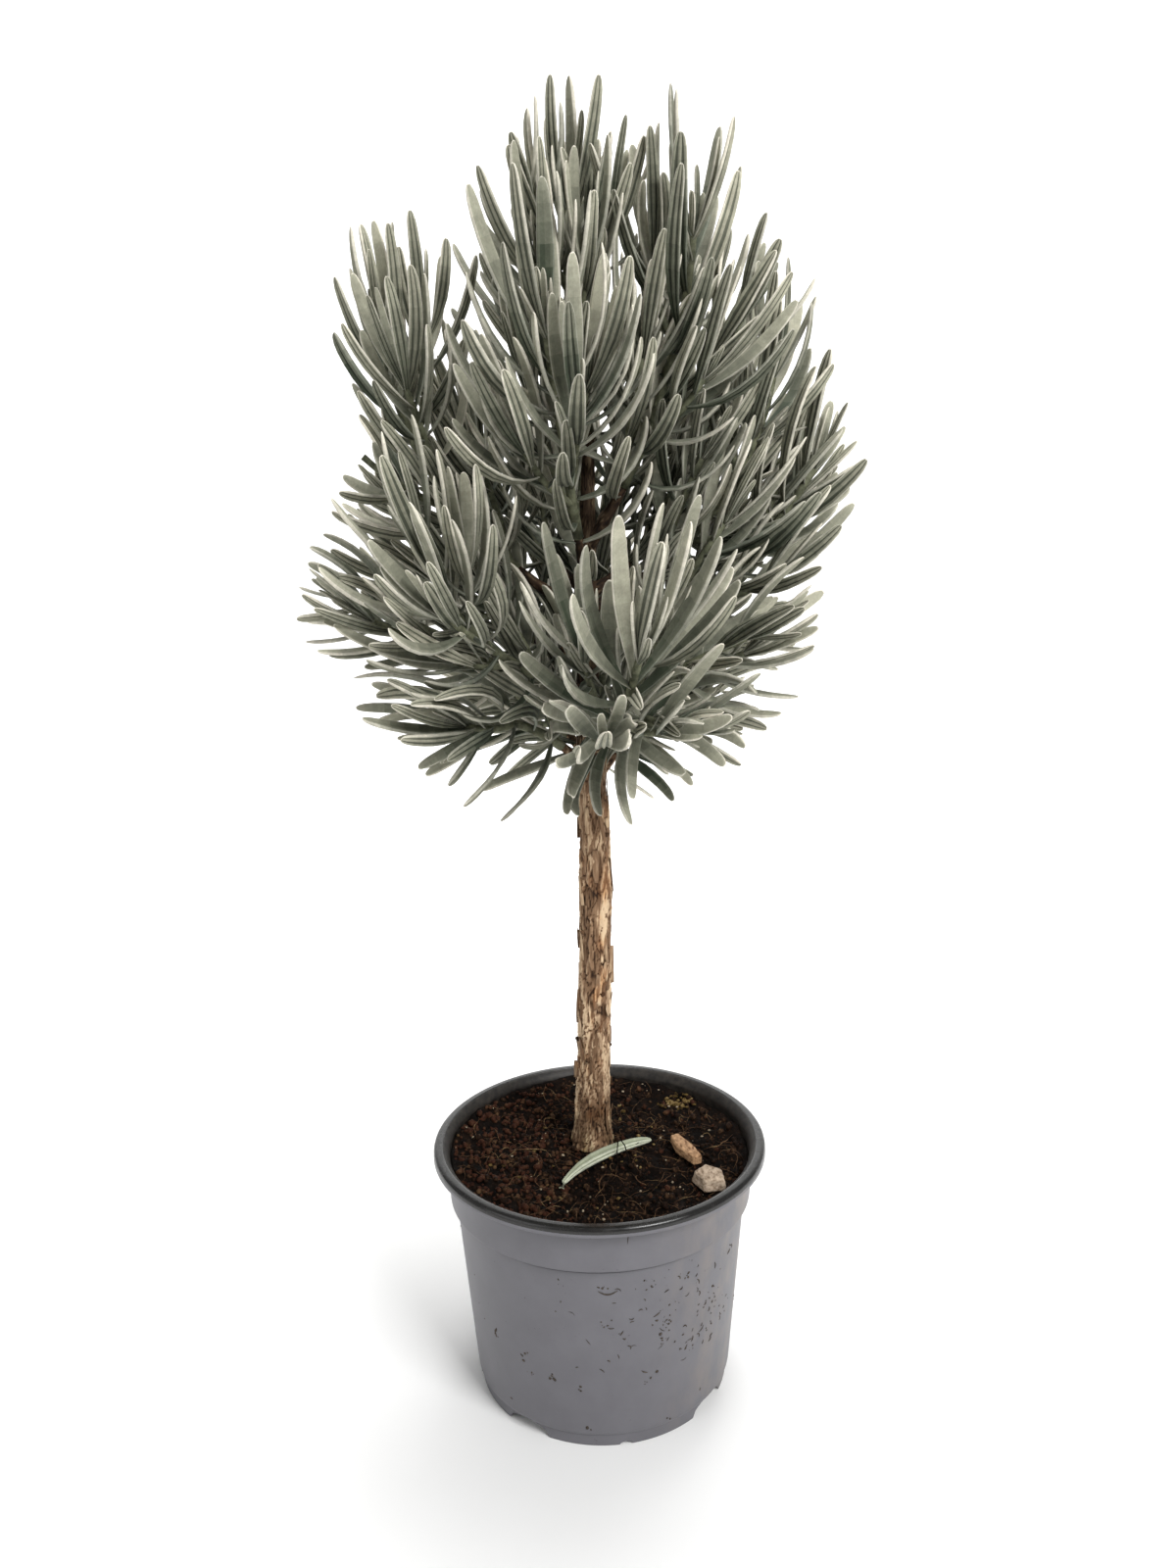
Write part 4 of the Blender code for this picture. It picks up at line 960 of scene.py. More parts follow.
def bark_relief(around, height, radius):
    """Height of the bark over the wood, and its colour depth from 0, fissure, to 1, papery sheet."""
    wood = Vector((math.cos(around) * radius, math.sin(around) * radius, height))
    warp = noise.noise_vector(wood / (7.0 * MM)) * 2.0 * MM
    spot = wood + Vector((warp.x, warp.y, 2.5 * warp.z))
    distances, cells = noise.voronoi(stretched(spot, 3.3 * MM, 25.0 * MM))
    edge = min((distances[1] - distances[0]) / 0.11, 1.0)
    lift = noise.cell(cells[0] * 7.3)
    crack = 1.0 - min(abs(noise.noise(stretched(spot, 2.4 * MM, 13.0 * MM) + Vector((9, 4, 1)))) / 0.06, 1.0)
    craze = 1.0 - min(abs(noise.noise(stretched(wood, 1.5 * MM, 2.6 * MM) + Vector((2, 7, 5)))) / 0.09, 1.0)
    craze *= lerp(0.2, 0.75, smooth_step(SOIL_HEIGHT + 75.0 * MM, SOIL_HEIGHT + 20.0 * MM, height))
    fibre = noise.noise(stretched(wood, 0.55 * MM, 6.0 * MM))
    rough = noise.fractal(wood / (1.6 * MM), 1.0, 2.0, 3)
    patch = noise.noise(stretched(wood, 5.0 * MM, 14.0 * MM) + Vector((5, 3, 8)))
    relief = (0.5 * lift + 0.3) * edge - 0.7 * crack - 0.35 * craze + 0.15 * fibre + 0.25 * rough
    depth = 0.4 + 0.22 * edge + 0.16 * lift + 0.36 * patch + 0.24 * fibre - 0.6 * crack - 0.5 * craze
    return relief * MM, min(max(depth, 0.0), 1.0)


def bark(settings):
    """Old lavender bark: papery tan plates over dark fissures, orange where fresh, greener at the foot, and darkened by
    painted shade among the leaves.
    """
    material, tree, shader = new_material("bark flaking lavender", Roughness=0.82, IOR=1.45, Specular_IOR_Level=0.3)
    place = position(tree)
    depth = add_node(tree, "ShaderNodeAttribute", {"attribute_name": "bark_depth"})
    strand = grain(tree, place, 0.9 * MM, 3.0, (1.0, 1.0, 0.16))
    patch = grain(tree, place, 8.0 * MM, 3.0, (1.0, 1.0, 0.4))
    total = add_node(tree, "ShaderNodeMath", {"operation": "MULTIPLY_ADD", 1: 0.42},
                     {0: strand.outputs["Fac"], 2: depth.outputs["Fac"]})
    shade = add_node(tree, "ShaderNodeValToRGB", {"stops": (
        (0.28, linear(settings.fissure)), (0.52, linear(settings.bark_dark)),
        (0.78, linear(settings.bark_mid)), (1.0, linear(settings.bark_light)),
    )}, {"Fac": total.outputs[0]})
    fresh = add_node(tree, "ShaderNodeMapRange", {"From Min": 0.54, "From Max": 0.68, "To Max": 0.55},
                     {0: patch.outputs["Fac"]})
    warm = add_node(tree, "ShaderNodeMix", {"data_type": "RGBA", "blend_type": "MULTIPLY", 7: linear(settings.fresh_bark)},
                    {0: fresh.outputs[0], 6: shade.outputs["Color"]})
    split = add_node(tree, "ShaderNodeSeparateXYZ", (), {0: place})
    low = add_node(tree, "ShaderNodeMapRange",
                   {"From Min": SOIL_HEIGHT + 22.0 * MM, "From Max": SOIL_HEIGHT, "To Max": 0.6}, {0: split.outputs["Z"]})
    patchy = add_node(tree, "ShaderNodeMapRange", {"From Min": 0.4, "From Max": 0.6}, {0: patch.outputs["Fac"]})
    green = add_node(tree, "ShaderNodeMath", {"operation": "MULTIPLY"}, {0: low.outputs[0], 1: patchy.outputs[0]})
    foot = add_node(tree, "ShaderNodeMix", {"data_type": "RGBA", "blend_type": "MULTIPLY", 7: linear(settings.algae)},
                    {0: green.outputs[0], 6: warm.outputs[2]})
    # Painted shade: the wood is darkened upward from the crown's foot, as the leaves shade it.
    high = add_node(tree, "ShaderNodeMapRange", {"From Min": CROWN_FOOT, "From Max": CROWN_FOOT + 45.0 * MM, "To Max": 0.9},
                    {0: split.outputs["Z"]})
    shaded_in_crown = add_node(tree, "ShaderNodeMix", {"data_type": "RGBA", "blend_type": "MULTIPLY", 7: linear(settings.shaded)},
                    {0: high.outputs[0], 6: foot.outputs[2]})
    connect(tree, shaded_in_crown.outputs[2], shader, "Base Color")
    bump = add_node(tree, "ShaderNodeBump", {"Strength": 0.6, "Distance": 0.25 * MM}, {"Height": strand.outputs["Fac"]})
    connect(tree, bump.outputs[0], shader, "Normal")
    return material


def set_depth(obj, depths):
    attribute = obj.data.attributes.new("bark_depth", "FLOAT", "POINT")
    attribute.data.foreach_set("value", np.asarray(depths, np.float32))


def build_trunk(settings):
    """The trunk with its bark in relief, whose material the flakes and boughs share."""
    around, along = settings.around, settings.along
    points = []
    depths = []
    for level in range(along + 1):
        share = level / along
        centre = trunk_point(share)
        radius = trunk_radius(share)
        for k in range(around):
            angle = 2.0 * math.pi * k / around
            relief, depth = bark_relief(angle, centre.z, max(radius, 4.0 * MM))
            relief *= min(radius / (6.0 * MM), 1.0)
            reach = radius - 0.12 * MM + relief
            points.append(centre + Vector((math.cos(angle), math.sin(angle), 0.0)) * reach)
            depths.append(depth)
    faces = [tuple(reversed(range(around)))]
    for level in range(along):
        low = level * around
        for k in range(around):
            after = (k + 1) % around
            faces.append((low + k, low + after, low + around + after, low + around + k))
    faces.append(tuple(along * around + k for k in range(around)))
    material = bark(settings)
    trunk = new_mesh_object("trunk_bark", points, faces, [material])
    set_depth(trunk, depths)
    return settle(trunk, "bark", "trunk"), material


def build_flakes(settings, material):
    """Papery flakes that have lifted from the trunk along one edge or end, and small old leaf scars."""
    draw = random.Random("flakes")
    heap = Heap()
    depths = []
    for _ in range(settings.flakes):
        share = draw.uniform(0.03, 0.62)
        centre = trunk_point(share)
        radius = trunk_radius(share)
        angle = draw.uniform(0.0, 2.0 * math.pi)
        length = MM * draw.uniform(4.0, 17.0)
        width = MM * draw.uniform(0.7, 2.6)
        lift = MM * draw.uniform(0.2, 1.2)
        peel = draw.choice((0, 1, 2))
        lean = draw.uniform(-0.25, 0.25)
        rows, columns = 8, 4
        top = []
        for row in range(rows):
            along = row / (rows - 1)
            for column in range(columns):
                across = column / (columns - 1)
                taper = math.sin(math.pi * (0.12 + 0.76 * along)) ** 0.6
                free = (along, across, 1.0 - across)[peel] ** 2
                turn = angle + (across - 0.5) * width * taper / radius + lean * (along - 0.5) * length / radius
                reach = radius + 0.25 * MM + free * lift + 0.12 * MM * noise.noise(Vector((row, column, share * 90)))
                point = Vector((math.cos(turn) * reach, math.sin(turn) * reach, (along - 0.5) * length))
                top.append(centre + point)
        under = []
        for point in top:
            inward = Vector((centre.x - point.x, centre.y - point.y, 0.0)).normalized()
            under.append(point + inward * 0.28 * MM)
        faces = []
        for row in range(rows - 1):
            for column in range(columns - 1):
                a = row * columns + column
                faces.append((a, a + 1, a + columns + 1, a + columns))
                b = a + rows * columns
                faces.append((b, b + columns, b + columns + 1, b + 1))
        rim = [k for k in range(columns)] + [r * columns + columns - 1 for r in range(1, rows)]
        rim += [(rows - 1) * columns + k for k in range(columns - 2, -1, -1)] + [r * columns for r in range(rows - 2, 0, -1)]
        for a, b in zip(rim, rim[1:] + rim[:1]):
            faces.append((b, a, a + rows * columns, b + rows * columns))
        heap.add(top + under, faces)
        tint = draw.uniform(0.38, 0.72)
        depths += [tint] * len(top) + [0.25] * len(under)
    for share, angle in SCARS:
        angle = math.radians(angle)
        centre = trunk_point(share)
        way = Vector((math.cos(angle), math.sin(angle), 0.35)).normalized()
        base = centre + Vector((way.x, way.y, 0.0)) * (trunk_radius(share) - 0.5 * MM)
        line = [base + way * MM * s for s in (0.0, 0.9, 1.6, 2.1)]
        points, faces = tube(line, [1.3 * MM, 1.05 * MM, 0.8 * MM, 0.35 * MM], 8, 0.3 * MM, share * 50)
        heap.add(points, faces)
        depths += [draw.uniform(0.1, 0.4)] * len(points)
    flakes = heap.object("bark_flakes", [material])
    set_depth(flakes, depths)
    return settle(flakes, "bark")


def build_boughs(material):
    """The bare feet of the boughs, from inside the trunk's bark to where the leaves begin."""
    heap = Heap()
    depths = []
    draw = random.Random("bough bark")
    for row in MASSES:
        run = mass_run(row)
        count = 14
        points, faces = tube(stations(lambda s: run(BOUGH_SHARE * s), count), tapered(BOUGH_RADII, count), 16,
                             0.35 * MM, draw.uniform(0.0, 40.0))
        heap.add(points, faces)
        depths += [min(max(0.45 + 0.9 * noise.noise(p / (1.4 * MM)), 0.05), 0.95) for p in points]
    boughs = heap.object("boughs", [material])
    set_depth(boughs, depths)
    return settle(boughs, "bark", *["bough_" + row[0] for row in MASSES])


# The rule that shoots grow by, with what the finer growth adds

def run_length(points):
    return sum((b - a).length for a, b in zip(points, points[1:]))


def direction(path, share):
    return (path(min(share + LOOK, 1.0)) - path(share - LOOK)).normalized()


def leaf_at(draw, path, share, radii, turn, pair, half, age, leaf_length, droop):
    """One leaf of a crosswise pair: which way it opens, how it bends and its size."""
    axis = direction(path, share)
    longest = leaf_length * (1.0 - LENGTH_FALL * (age - LONGEST_AGE) ** 2)
    around = turn + 90.0 * pair + 180.0 * half + draw.uniform(-AROUND_JITTER, AROUND_JITTER)
    return {
        "axis": axis,
        "root": path(share),
        "side": crosswise(axis),
        "around": math.radians(around),
        "opening": lerp(OPEN_HIGH, OPEN_LOW, age ** OPENING_POWER) + draw.uniform(-OPEN_JITTER, OPEN_JITTER),
        "closing": lerp(CLOSE_HIGH, CLOSE_LOW, age) + draw.uniform(*CLOSE_JITTER),
        "length": longest * draw.uniform(*LENGTH_JITTER),
        "width": LEAF_WIDTH * draw.uniform(*WIDTH_JITTER) * (longest / LEAF_LENGTH) ** 0.5,
        "roll": math.radians(draw.uniform(-ROLL_JITTER, ROLL_JITTER)),
        "sway": lerp(SWAY_YOUNG, -droop, age ** SWAY_POWER) + draw.uniform(-SWAY_JITTER, SWAY_JITTER),
        "age": age,
    }


def shoot(name, path, radii, pairs, start, leaf_length, droop):
    """The source's leaves of one shoot, from its apex down."""
    draw = random.Random(name)
    turn = draw.uniform(0.0, 90.0)
    leaves = []
    step = min(PAIR_STEP / run_length(stations(path, 9)), (1.0 - start) / pairs)
    for pair in range(pairs):
        share = 1.0 - (pair + FIRST_PAIR) * step
        age = (pair + 0.5) / AGE_PAIRS
        for half in range(2):
            leaves.append(leaf_at(draw, path, share, radii, turn, pair, half, age, leaf_length, droop))
    return leaves


def older_pairs(name, path, radii, pairs, start, leaf_length, droop, lowest):
    """Leaves further down a shoot than the source carries them."""
    draw = random.Random(name + " older")
    turn = draw.uniform(0.0, 90.0)
    whole = run_length(stations(path, 9))
    top = 1.0 - min(PAIR_STEP / whole, (1.0 - start) / pairs) * pairs
    leaves = []
    for pair in range(MORE_PAIRS):
        share = top - (pair + 0.5) * MORE_STEP / whole
        if share < lowest:
            break
        age = min((pairs + pair + 0.5) / AGE_PAIRS, 1.15)
        for half in range(2):
            leaves.append(leaf_at(draw, path, share, radii, turn, pair, half, age, leaf_length, droop))
    return leaves


def tuft(name, root, axis, sizes, pairs):
    """A bud's short young leaves, pressed together."""
    draw = random.Random(name)
    turn = draw.uniform(0.0, 90.0)
    leaves = []
    for pair in range(pairs):
        for half in range(2):
            size = lerp(*sizes, draw.random()) * (0.62 + 0.38 * pair / max(pairs - 1, 1))
            leaves.append({
                "axis": axis,
                "root": root - axis * pair * 0.8 * MM,
                "side": crosswise(axis),
                "around": math.radians(turn + 90.0 * pair + 180.0 * half + draw.uniform(-10.0, 10.0)),
                "opening": 7.0 + 8.0 * pair + draw.uniform(-4.0, 4.0),
                "closing": 8.0 + draw.uniform(-4.0, 8.0),
                "length": size,
                "width": LEAF_WIDTH * 0.5 * (size / (24.0 * MM)) ** 0.5 * draw.uniform(0.85, 1.1),
                "roll": math.radians(draw.uniform(-10.0, 10.0)),
                "sway": draw.uniform(0.0, 0.3),
                "age": 0.05,
            })
    return leaves


def bowed(leaves, name):
    """Bends each leaf deeper by its own amount, so that its tip stays about where it was."""
    draw = random.Random(name + " bows")
    for leaf in leaves:
        extra = draw.uniform(*DEEPER_BOW) * min(leaf["age"] / BOW_AGE, 1.0)
        leaf["opening"] += 0.5 * extra
        leaf["closing"] += extra
    return leaves


def placed(leaf, attempt):
    """The leaf with its blade turned a little round the shoot, as each retry asks."""
    turn, lean, shrink = attempt
    around = leaf["around"] + math.radians(turn)
    over = leaf["axis"].cross(leaf["side"])
    tried = dict(leaf)
    tried["out"] = leaf["side"] * math.cos(around) + over * math.sin(around)
    tried["opening"] = leaf["opening"] + lean
    tried["length"] = leaf["length"] * shrink
    return tried


def side_shoot(name, index, step, run, stem_from, length):
    """A side shoot's course: it leaves the stem at an angle and turns up."""
    draw = random.Random("%s side %d" % (name, index))
    share = lerp(stem_from, 1.0, SIDE_FIRST + step * index + draw.uniform(*SIDE_JITTER))
    axis = direction(run, share)
    around = math.radians(GOLDEN_TURN * index + draw.uniform(-GOLDEN_JITTER, GOLDEN_JITTER))
    spread = math.radians(draw.uniform(*TWIG_SPREAD))
    side = crosswise(axis)
    out = side * math.cos(around) + axis.cross(side) * math.sin(around)
    ahead = axis * math.cos(spread) + out * math.sin(spread)
    ahead = (ahead + UP * (LIFT_OTHERS if index else LIFT_LOWEST)).normalized()
    size = length * draw.uniform(*TWIG_SHARE) * (1.0 - SIDE_FALL * share)
    apex = run(share) + ahead * size + (axis + UP * TIP_LIFT).normalized() * size * TIP_SHARE
    return limb_run(run(share), apex, (axis + ahead + UP * TIP_LIFT).normalized())


def mass_plan(name, run, stem_from, slope, leaf_length, side_shoots):
    """A mass's twigs and the leaves of each: the source's first, then the finer growth's."""
    low, high = DROOP_LIMITS
    droop = min(max((LEVEL_SLOPE - slope) / DROOP_RANGE, low), high)
    stem = stations(lambda share: run(lerp(stem_from, 1.0, share)), 9)
    twigs = [(stem, tapered(STEM_RADII, 9))]
    size = leaf_length * MM
    main = shoot(name, run, STEM_RADII, STEM_PAIRS, stem_from, size, droop)
    extra = older_pairs(name, run, STEM_RADII, STEM_PAIRS, stem_from, size, droop, LOWEST_PAIR)
    draw = random.Random(name + " tufts")
    extra += tuft(name + " apex", run(1.0), direction(run, 1.0), TIP_TUFT, 3)
    for index in range(TUFTS):
        share = lerp(stem_from, 1.0, draw.uniform(0.25, 0.92))
        axis = direction(run, share)
        around = draw.uniform(0.0, 6.28)
        side = crosswise(axis)
        out = side * math.cos(around) + axis.cross(side) * math.sin(around)
        extra += tuft("%s tuft %d" % (name, index), run(share) + out * 1.5 * MM, (axis + out).normalized(), TUFT_LENGTH, 2)
    groups = [(bowed(main, name), bowed(extra, name + " more"))]
    step = min(SIDE_STEP, SIDE_SPAN / side_shoots)
    for index in range(side_shoots + (0 if name in OPEN_MASSES else MORE_SHOOTS)):
        if index < side_shoots:
            path = side_shoot(name, index, step, run, stem_from, run_length(stem))
        else:
            path = side_shoot(name + " more", index - side_shoots + 0.5, step, run, stem_from, run_length(stem) * 0.8)
        twigs.append((stations(path, 6), tapered(TWIG_RADII, 6)))
        label = "%s shoot %d" % (name, index)
        twig_size = size * TWIG_LEAF_SHARE
        leaves = shoot(label, path, TWIG_RADII, TWIG_PAIRS, TWIG_BARE_SHARE, twig_size, droop)
        older = older_pairs(label, path, TWIG_RADII, TWIG_PAIRS, 0.12, twig_size, droop, 0.12)
        older += tuft(label + " apex", path(1.0), direction(path, 1.0), TIP_TUFT, 2)
        leaves = bowed(leaves, label)
        older = bowed(older, label + " more")
        groups.append((leaves, older) if index < side_shoots else ([], leaves + older))
    return twigs, groups


def in_crown(point):
    height = point.z / MM
    if not CROWN_OUTLINE[0][0] <= height <= CROWN_OUTLINE[-1][0]:
        return False
    left = interpolated([row[:2] for row in CROWN_OUTLINE], height) * MM
    right = interpolated([(row[0], row[2]) for row in CROWN_OUTLINE], height) * MM
    across = point.x / (left if point.x < 0.0 else right)
    deep = (point.y - CROWN_AXIS_Y) / (CROWN_DEPTH * 0.5 * (left + right))
    return math.hypot(across, deep) <= 1.0


class Space:
    """What is taken so far, so that no leaf is laid through another."""

    def __init__(self):
        self.lows = np.zeros((0, 3))
        self.highs = np.zeros((0, 3))
        self.surfaces = []

    def add(self, points, faces):
        spots = np.array([tuple(p) for p in points])
        self.lows = np.vstack((self.lows, spots.min(0)))
        self.highs = np.vstack((self.highs, spots.max(0)))
        self.surfaces.append(BVHTree.FromPolygons(points, faces))

    def free(self, points, faces):
        spots = np.array([tuple(p) for p in points])
        apart = (self.lows > spots.max(0)) | (self.highs < spots.min(0))
        near = np.nonzero(~apart.any(1))[0]
        if not len(near):
            return True
        tree = BVHTree.FromPolygons(points, faces)
        return not any(tree.overlap(self.surfaces[k]) for k in near)


def leaf_line(leaf):
    """Points and directions down the middle of a leaf that opens from its shoot and bends back to it."""
    line = []
    point = leaf["root"].copy()
    for step in range(LEAF_STEPS + 1):
        share = step / LEAF_STEPS
        angle = math.radians(leaf["opening"] - leaf["closing"] * share)
        ahead = leaf["axis"] * math.cos(angle) + leaf["out"] * math.sin(angle) + UP * leaf["sway"] * share
        ahead.normalize()
        line.append((point.copy(), ahead))
        point += ahead * (leaf["length"] / LEAF_STEPS)
    return line


def leaf_frame(leaf, ahead, twist=0.0):
    """Across and upper-face directions of a blade at one of its stations."""
    across = leaf["axis"].cross(leaf["out"])
    across = (across - ahead * across.dot(ahead)).normalized()
    side = Matrix.Rotation(leaf["roll"] + twist, 3, ahead) @ across
    face = side.cross(ahead).normalized()
    if face.dot(leaf["out"]) > 0.0:
        return -side, -face
    return side, face


def blade_proxy(leaf):
    """A slim three-sided stand-in for a blade, to test whether its place is free."""
    line = leaf_line(leaf)
    points = []
    for step, width in ((5, 0.35), (13, 0.42), (21, 0.32)):
        point, ahead = line[step]
        side, face = leaf_frame(leaf, ahead)
        half = leaf["width"] * width
        deep = 0.4 * LEAF_THICKNESS
        points += [point + face * deep + side * half, point + face * deep - side * half, point - face * deep]
    points.append(line[-1][0])
    faces = [(0, 2, 1)]
    for low in (0, 3):
        for k in range(3):
            after = (k + 1) % 3
            faces += [(low + k, low + after, low + 3 + after), (low + k, low + 3 + after, low + 3 + k)]
    faces += [(6 + k, 6 + (k + 1) % 3, 9) for k in range(3)]
    return points, faces


def grow_crown():
    """Every mass's twigs, and its leaves with a place of their own, from the apexes down."""
    plans = {}
    name, apex, slope, leaf_length, side_shoots = LEADER
    run = limb_run(trunk_point(1.0), apex, LEADER_DIRECTION)
    plans[name] = mass_plan(name, run, 0.0, slope, leaf_length, side_shoots)
    for row in MASSES:
        plans[row[0]] = mass_plan(row[0], mass_run(row), BOUGH_SHARE, row[5], row[6], row[7])
    space = Space()
    trunk = stations(trunk_point, 24)
    space.add(*tube(trunk, [trunk_radius(k / 23) for k in range(24)], 12))
    kept = {name: [] for name in plans}
    for layer in range(2):
        rank = 0
        waiting = True
        while waiting:
            waiting = False
            for name, (twigs, groups) in plans.items():
                for group in groups:
                    leaves = group[layer]
                    if rank >= len(leaves):
                        continue
                    waiting = True
                    for attempt in RETRIES:
                        leaf = placed(leaves[rank], attempt)
                        points, faces = blade_proxy(leaf)
                        if in_crown(points[-1]) and space.free(points, faces):
                            space.add(points, faces)
                            kept[name].append(leaf)
                            break
            rank += 1
    return {name: (plans[name][0], kept[name]) for name in plans}


# Leaves

def leaf_width_share(share):
    """Width along a leaf: narrow at its foot, widest past the middle, tapered and round at the tip."""
    body = 0.38 + 0.62 * smooth_step(0.0, 0.5, share) - 0.24 * smooth_step(0.55, 1.0, share)
    if share <= TIP_START:
        return body
    return body * max(1.0 - ((share - TIP_START) / (1.0 - TIP_START)) ** 2.4, 0.0) ** 0.5


def leaf_mesh(leaf, draw):
    """Points of one blade's rings with its rolled rims, channels and rib, and its closing tip."""
    line = leaf_line(leaf)
    twist = math.radians(draw.uniform(-26.0, 26.0))
    cup = draw.uniform(-0.30, 0.10) if leaf["age"] > 0.3 else draw.uniform(-0.1, 0.22)
    wave = draw.uniform(0.0, 6.28)
    thick = LEAF_THICKNESS * (leaf["width"] / LEAF_WIDTH) ** 0.5 * draw.uniform(0.88, 1.1)
    points = []
    for share in LEAF_RINGS:
        spot = share * LEAF_STEPS
        step = min(int(spot), LEAF_STEPS - 1)
        point = line[step][0].lerp(line[step + 1][0], spot - step)
        ahead = line[step][1].lerp(line[step + 1][1], spot - step).normalized()
        side, face = leaf_frame(leaf, ahead, twist * share)
        width = leaf_width_share(share)
        half = 0.5 * leaf["width"] * width
        fold = min(half / (FULL_HALF * MM), 1.0) * MM
        deep = thick * min(width * 1.25, 1.0)
        point = point + side * 0.25 * MM * math.sin(5.0 * share + wave)
        right = []
        for part, inset, level, _ in LEAF_SECTION:
            across = half * part - inset * fold
            bend = cup * (across / half) ** 2 * half
            right.append((across, level * deep + bend))
        left = [(-across, level) for across, level in reversed(right[1:-1])]
        points += [point + side * across + face * level for across, level in right + left]
    end, ahead = line[-1]
    points.append(end)
    return points


def leaf_topology():
    """Faces of a blade and the zone of each, the same for every leaf."""
    half = [row[3] for row in LEAF_SECTION]
    zones = half[:-1] + list(reversed(half[:-1]))
    count = len(zones)
    faces = [tuple(range(count))]
    kinds = [("upper", 0.0, 0.0)]
    for ring in range(len(LEAF_RINGS) - 1):
        low = ring * count
        along = 0.5 * (LEAF_RINGS[ring] + LEAF_RINGS[ring + 1])
        for k in range(count):
            after = (k + 1) % count
            faces.append((low + k, low + count + k, low + count + after, low + after))
            kinds.append((zones[k], along, STREAK * math.sin(2.4 * k)))
    last = (len(LEAF_RINGS) - 1) * count
    for k in range(count):
        faces.append((last + k, last + count, last + (k + 1) % count))
        kinds.append(("rim", 1.0, 0.0))
    return faces, kinds


def felt(name, colour, settings):
    """Leaf skin under felt: short grey hairs that scatter light to a pale, dry bloom at the edges."""
    values = {"Roughness": 0.72, "IOR": 1.45, "Specular_IOR_Level": 0.25, "Sheen_Weight": settings.bloom,
              "Sheen_Roughness": 0.45, "Sheen_Tint": linear(settings.bloom_tint)}
    material, tree, shader = new_material(name, **values)
    place = position(tree)
    hairs = grain(tree, place, 0.9 * MM, 3.0)
    mottle = grain(tree, place, 7.0 * MM, 2.0)
    total = add_node(tree, "ShaderNodeMath", {"operation": "MULTIPLY_ADD", 1: 0.6},
                     {0: hairs.outputs["Fac"], 2: mottle.outputs["Fac"]})
    shade = add_node(tree, "ShaderNodeValToRGB", {"stops": (
        (0.55, tuple(c * 0.80 for c in colour[:3]) + (1.0,)),
        (0.80, colour),
        (1.05, tuple(min(c * 1.22, 1.0) for c in colour[:3]) + (1.0,)),
    )}, {"Fac": total.outputs[0]})
    connect(tree, shade.outputs["Color"], shader, "Base Color")
    bump = add_node(tree, "ShaderNodeBump", {"Strength": 0.35, "Distance": 0.12 * MM}, {"Height": hairs.outputs["Fac"]})
    connect(tree, bump.outputs[0], shader, "Normal")
    return material


def leaf_materials(settings):
    """Plain shades from dark to pale for each zone of a leaf."""
    ends = {
        "upper": (settings.upper_dark, settings.upper_pale),
        # Rims are paler partly as felt and partly as painted highlight on the rolled edges.
        "rim": (settings.rim_dark, settings.rim_pale),
        # Channels are darker as painted shade in the grooves underneath.
        "channel": (settings.channel_dark, settings.channel_pale),
        "rib": (settings.rib_dark, settings.rib_pale),
    }
    made = []
    for zone in ZONES:
        for shade in range(SHADES):
            colour = between(*ends[zone], shade / (SHADES - 1))
            made.append(felt("felted leaf %s %d" % (zone, shade), colour, settings))
    return made


def build_leaves(name, leaves, masses, materials):
    """Joins leaves into one piece, each in its own shade that pales from foot to tip: partly paler tips, partly painted
    light that leaves the feet in shade and the tips lit.
    """
    faces, kinds = leaf_topology()
    base = np.array([(*face, face[-1])[:4] if len(face) == 3 else face for face in faces[1:] if len(face) == 4])
    draw = random.Random(name)
    points = []
    all_faces = []
    zones = []
    for leaf in leaves:
        start = len(points)
        points += leaf_mesh(leaf, draw)
        tone = draw.gauss(2.9 - 1.4 * leaf["age"], 1.65)
        if draw.random() < PALE_SHARE * leaf["age"]:
            tone += PALE_LIFT
        all_faces += [tuple(start + k for k in face) for face in faces]
        for zone, along, streak in kinds:
            # Painted light in part: the shade pales towards the tip.
            shade = round((tone - 0.8 + TIP_PALING * along ** 1.6 + streak) * (SHADES - 1) / 11)
            zones.append(ZONES.index(zone) * SHADES + min(max(shade, 0), SHADES - 1))
    piece = new_mesh_object(name, [tuple(p) for p in points], all_faces, materials, zones)
    return settle(piece, "leaf", *["foliage_" + mass for mass in masses])


def young_stem(settings):
    """Young lavender wood: grey-green felted rind that browns with age."""
    material, tree, shader = new_material("stem rind felted", Roughness=0.8, IOR=1.45)
    place = position(tree)
    patch = grain(tree, place, 4.0 * MM, 4.0)
    shade = add_node(tree, "ShaderNodeValToRGB", {"stops": (
        (0.35, linear(settings.stem_dark)), (0.65, linear(settings.stem_light)),
    )}, {"Fac": patch.outputs["Fac"]})
    connect(tree, shade.outputs["Color"], shader, "Base Color")
    return material


def build_stems(crown, settings):
    """Stems and side shoots of every mass, with slight random swellings."""
    heap = Heap()
    for index, (name, (twigs, _)) in enumerate(crown.items()):
        for points, radii in twigs:
            heap.add(*tube(points, radii, 8, 0.3 * MM, float(index)))
    return settle(heap.object("leafy_stems", [young_stem(settings)]), "bark")


# Things that lie on the peat

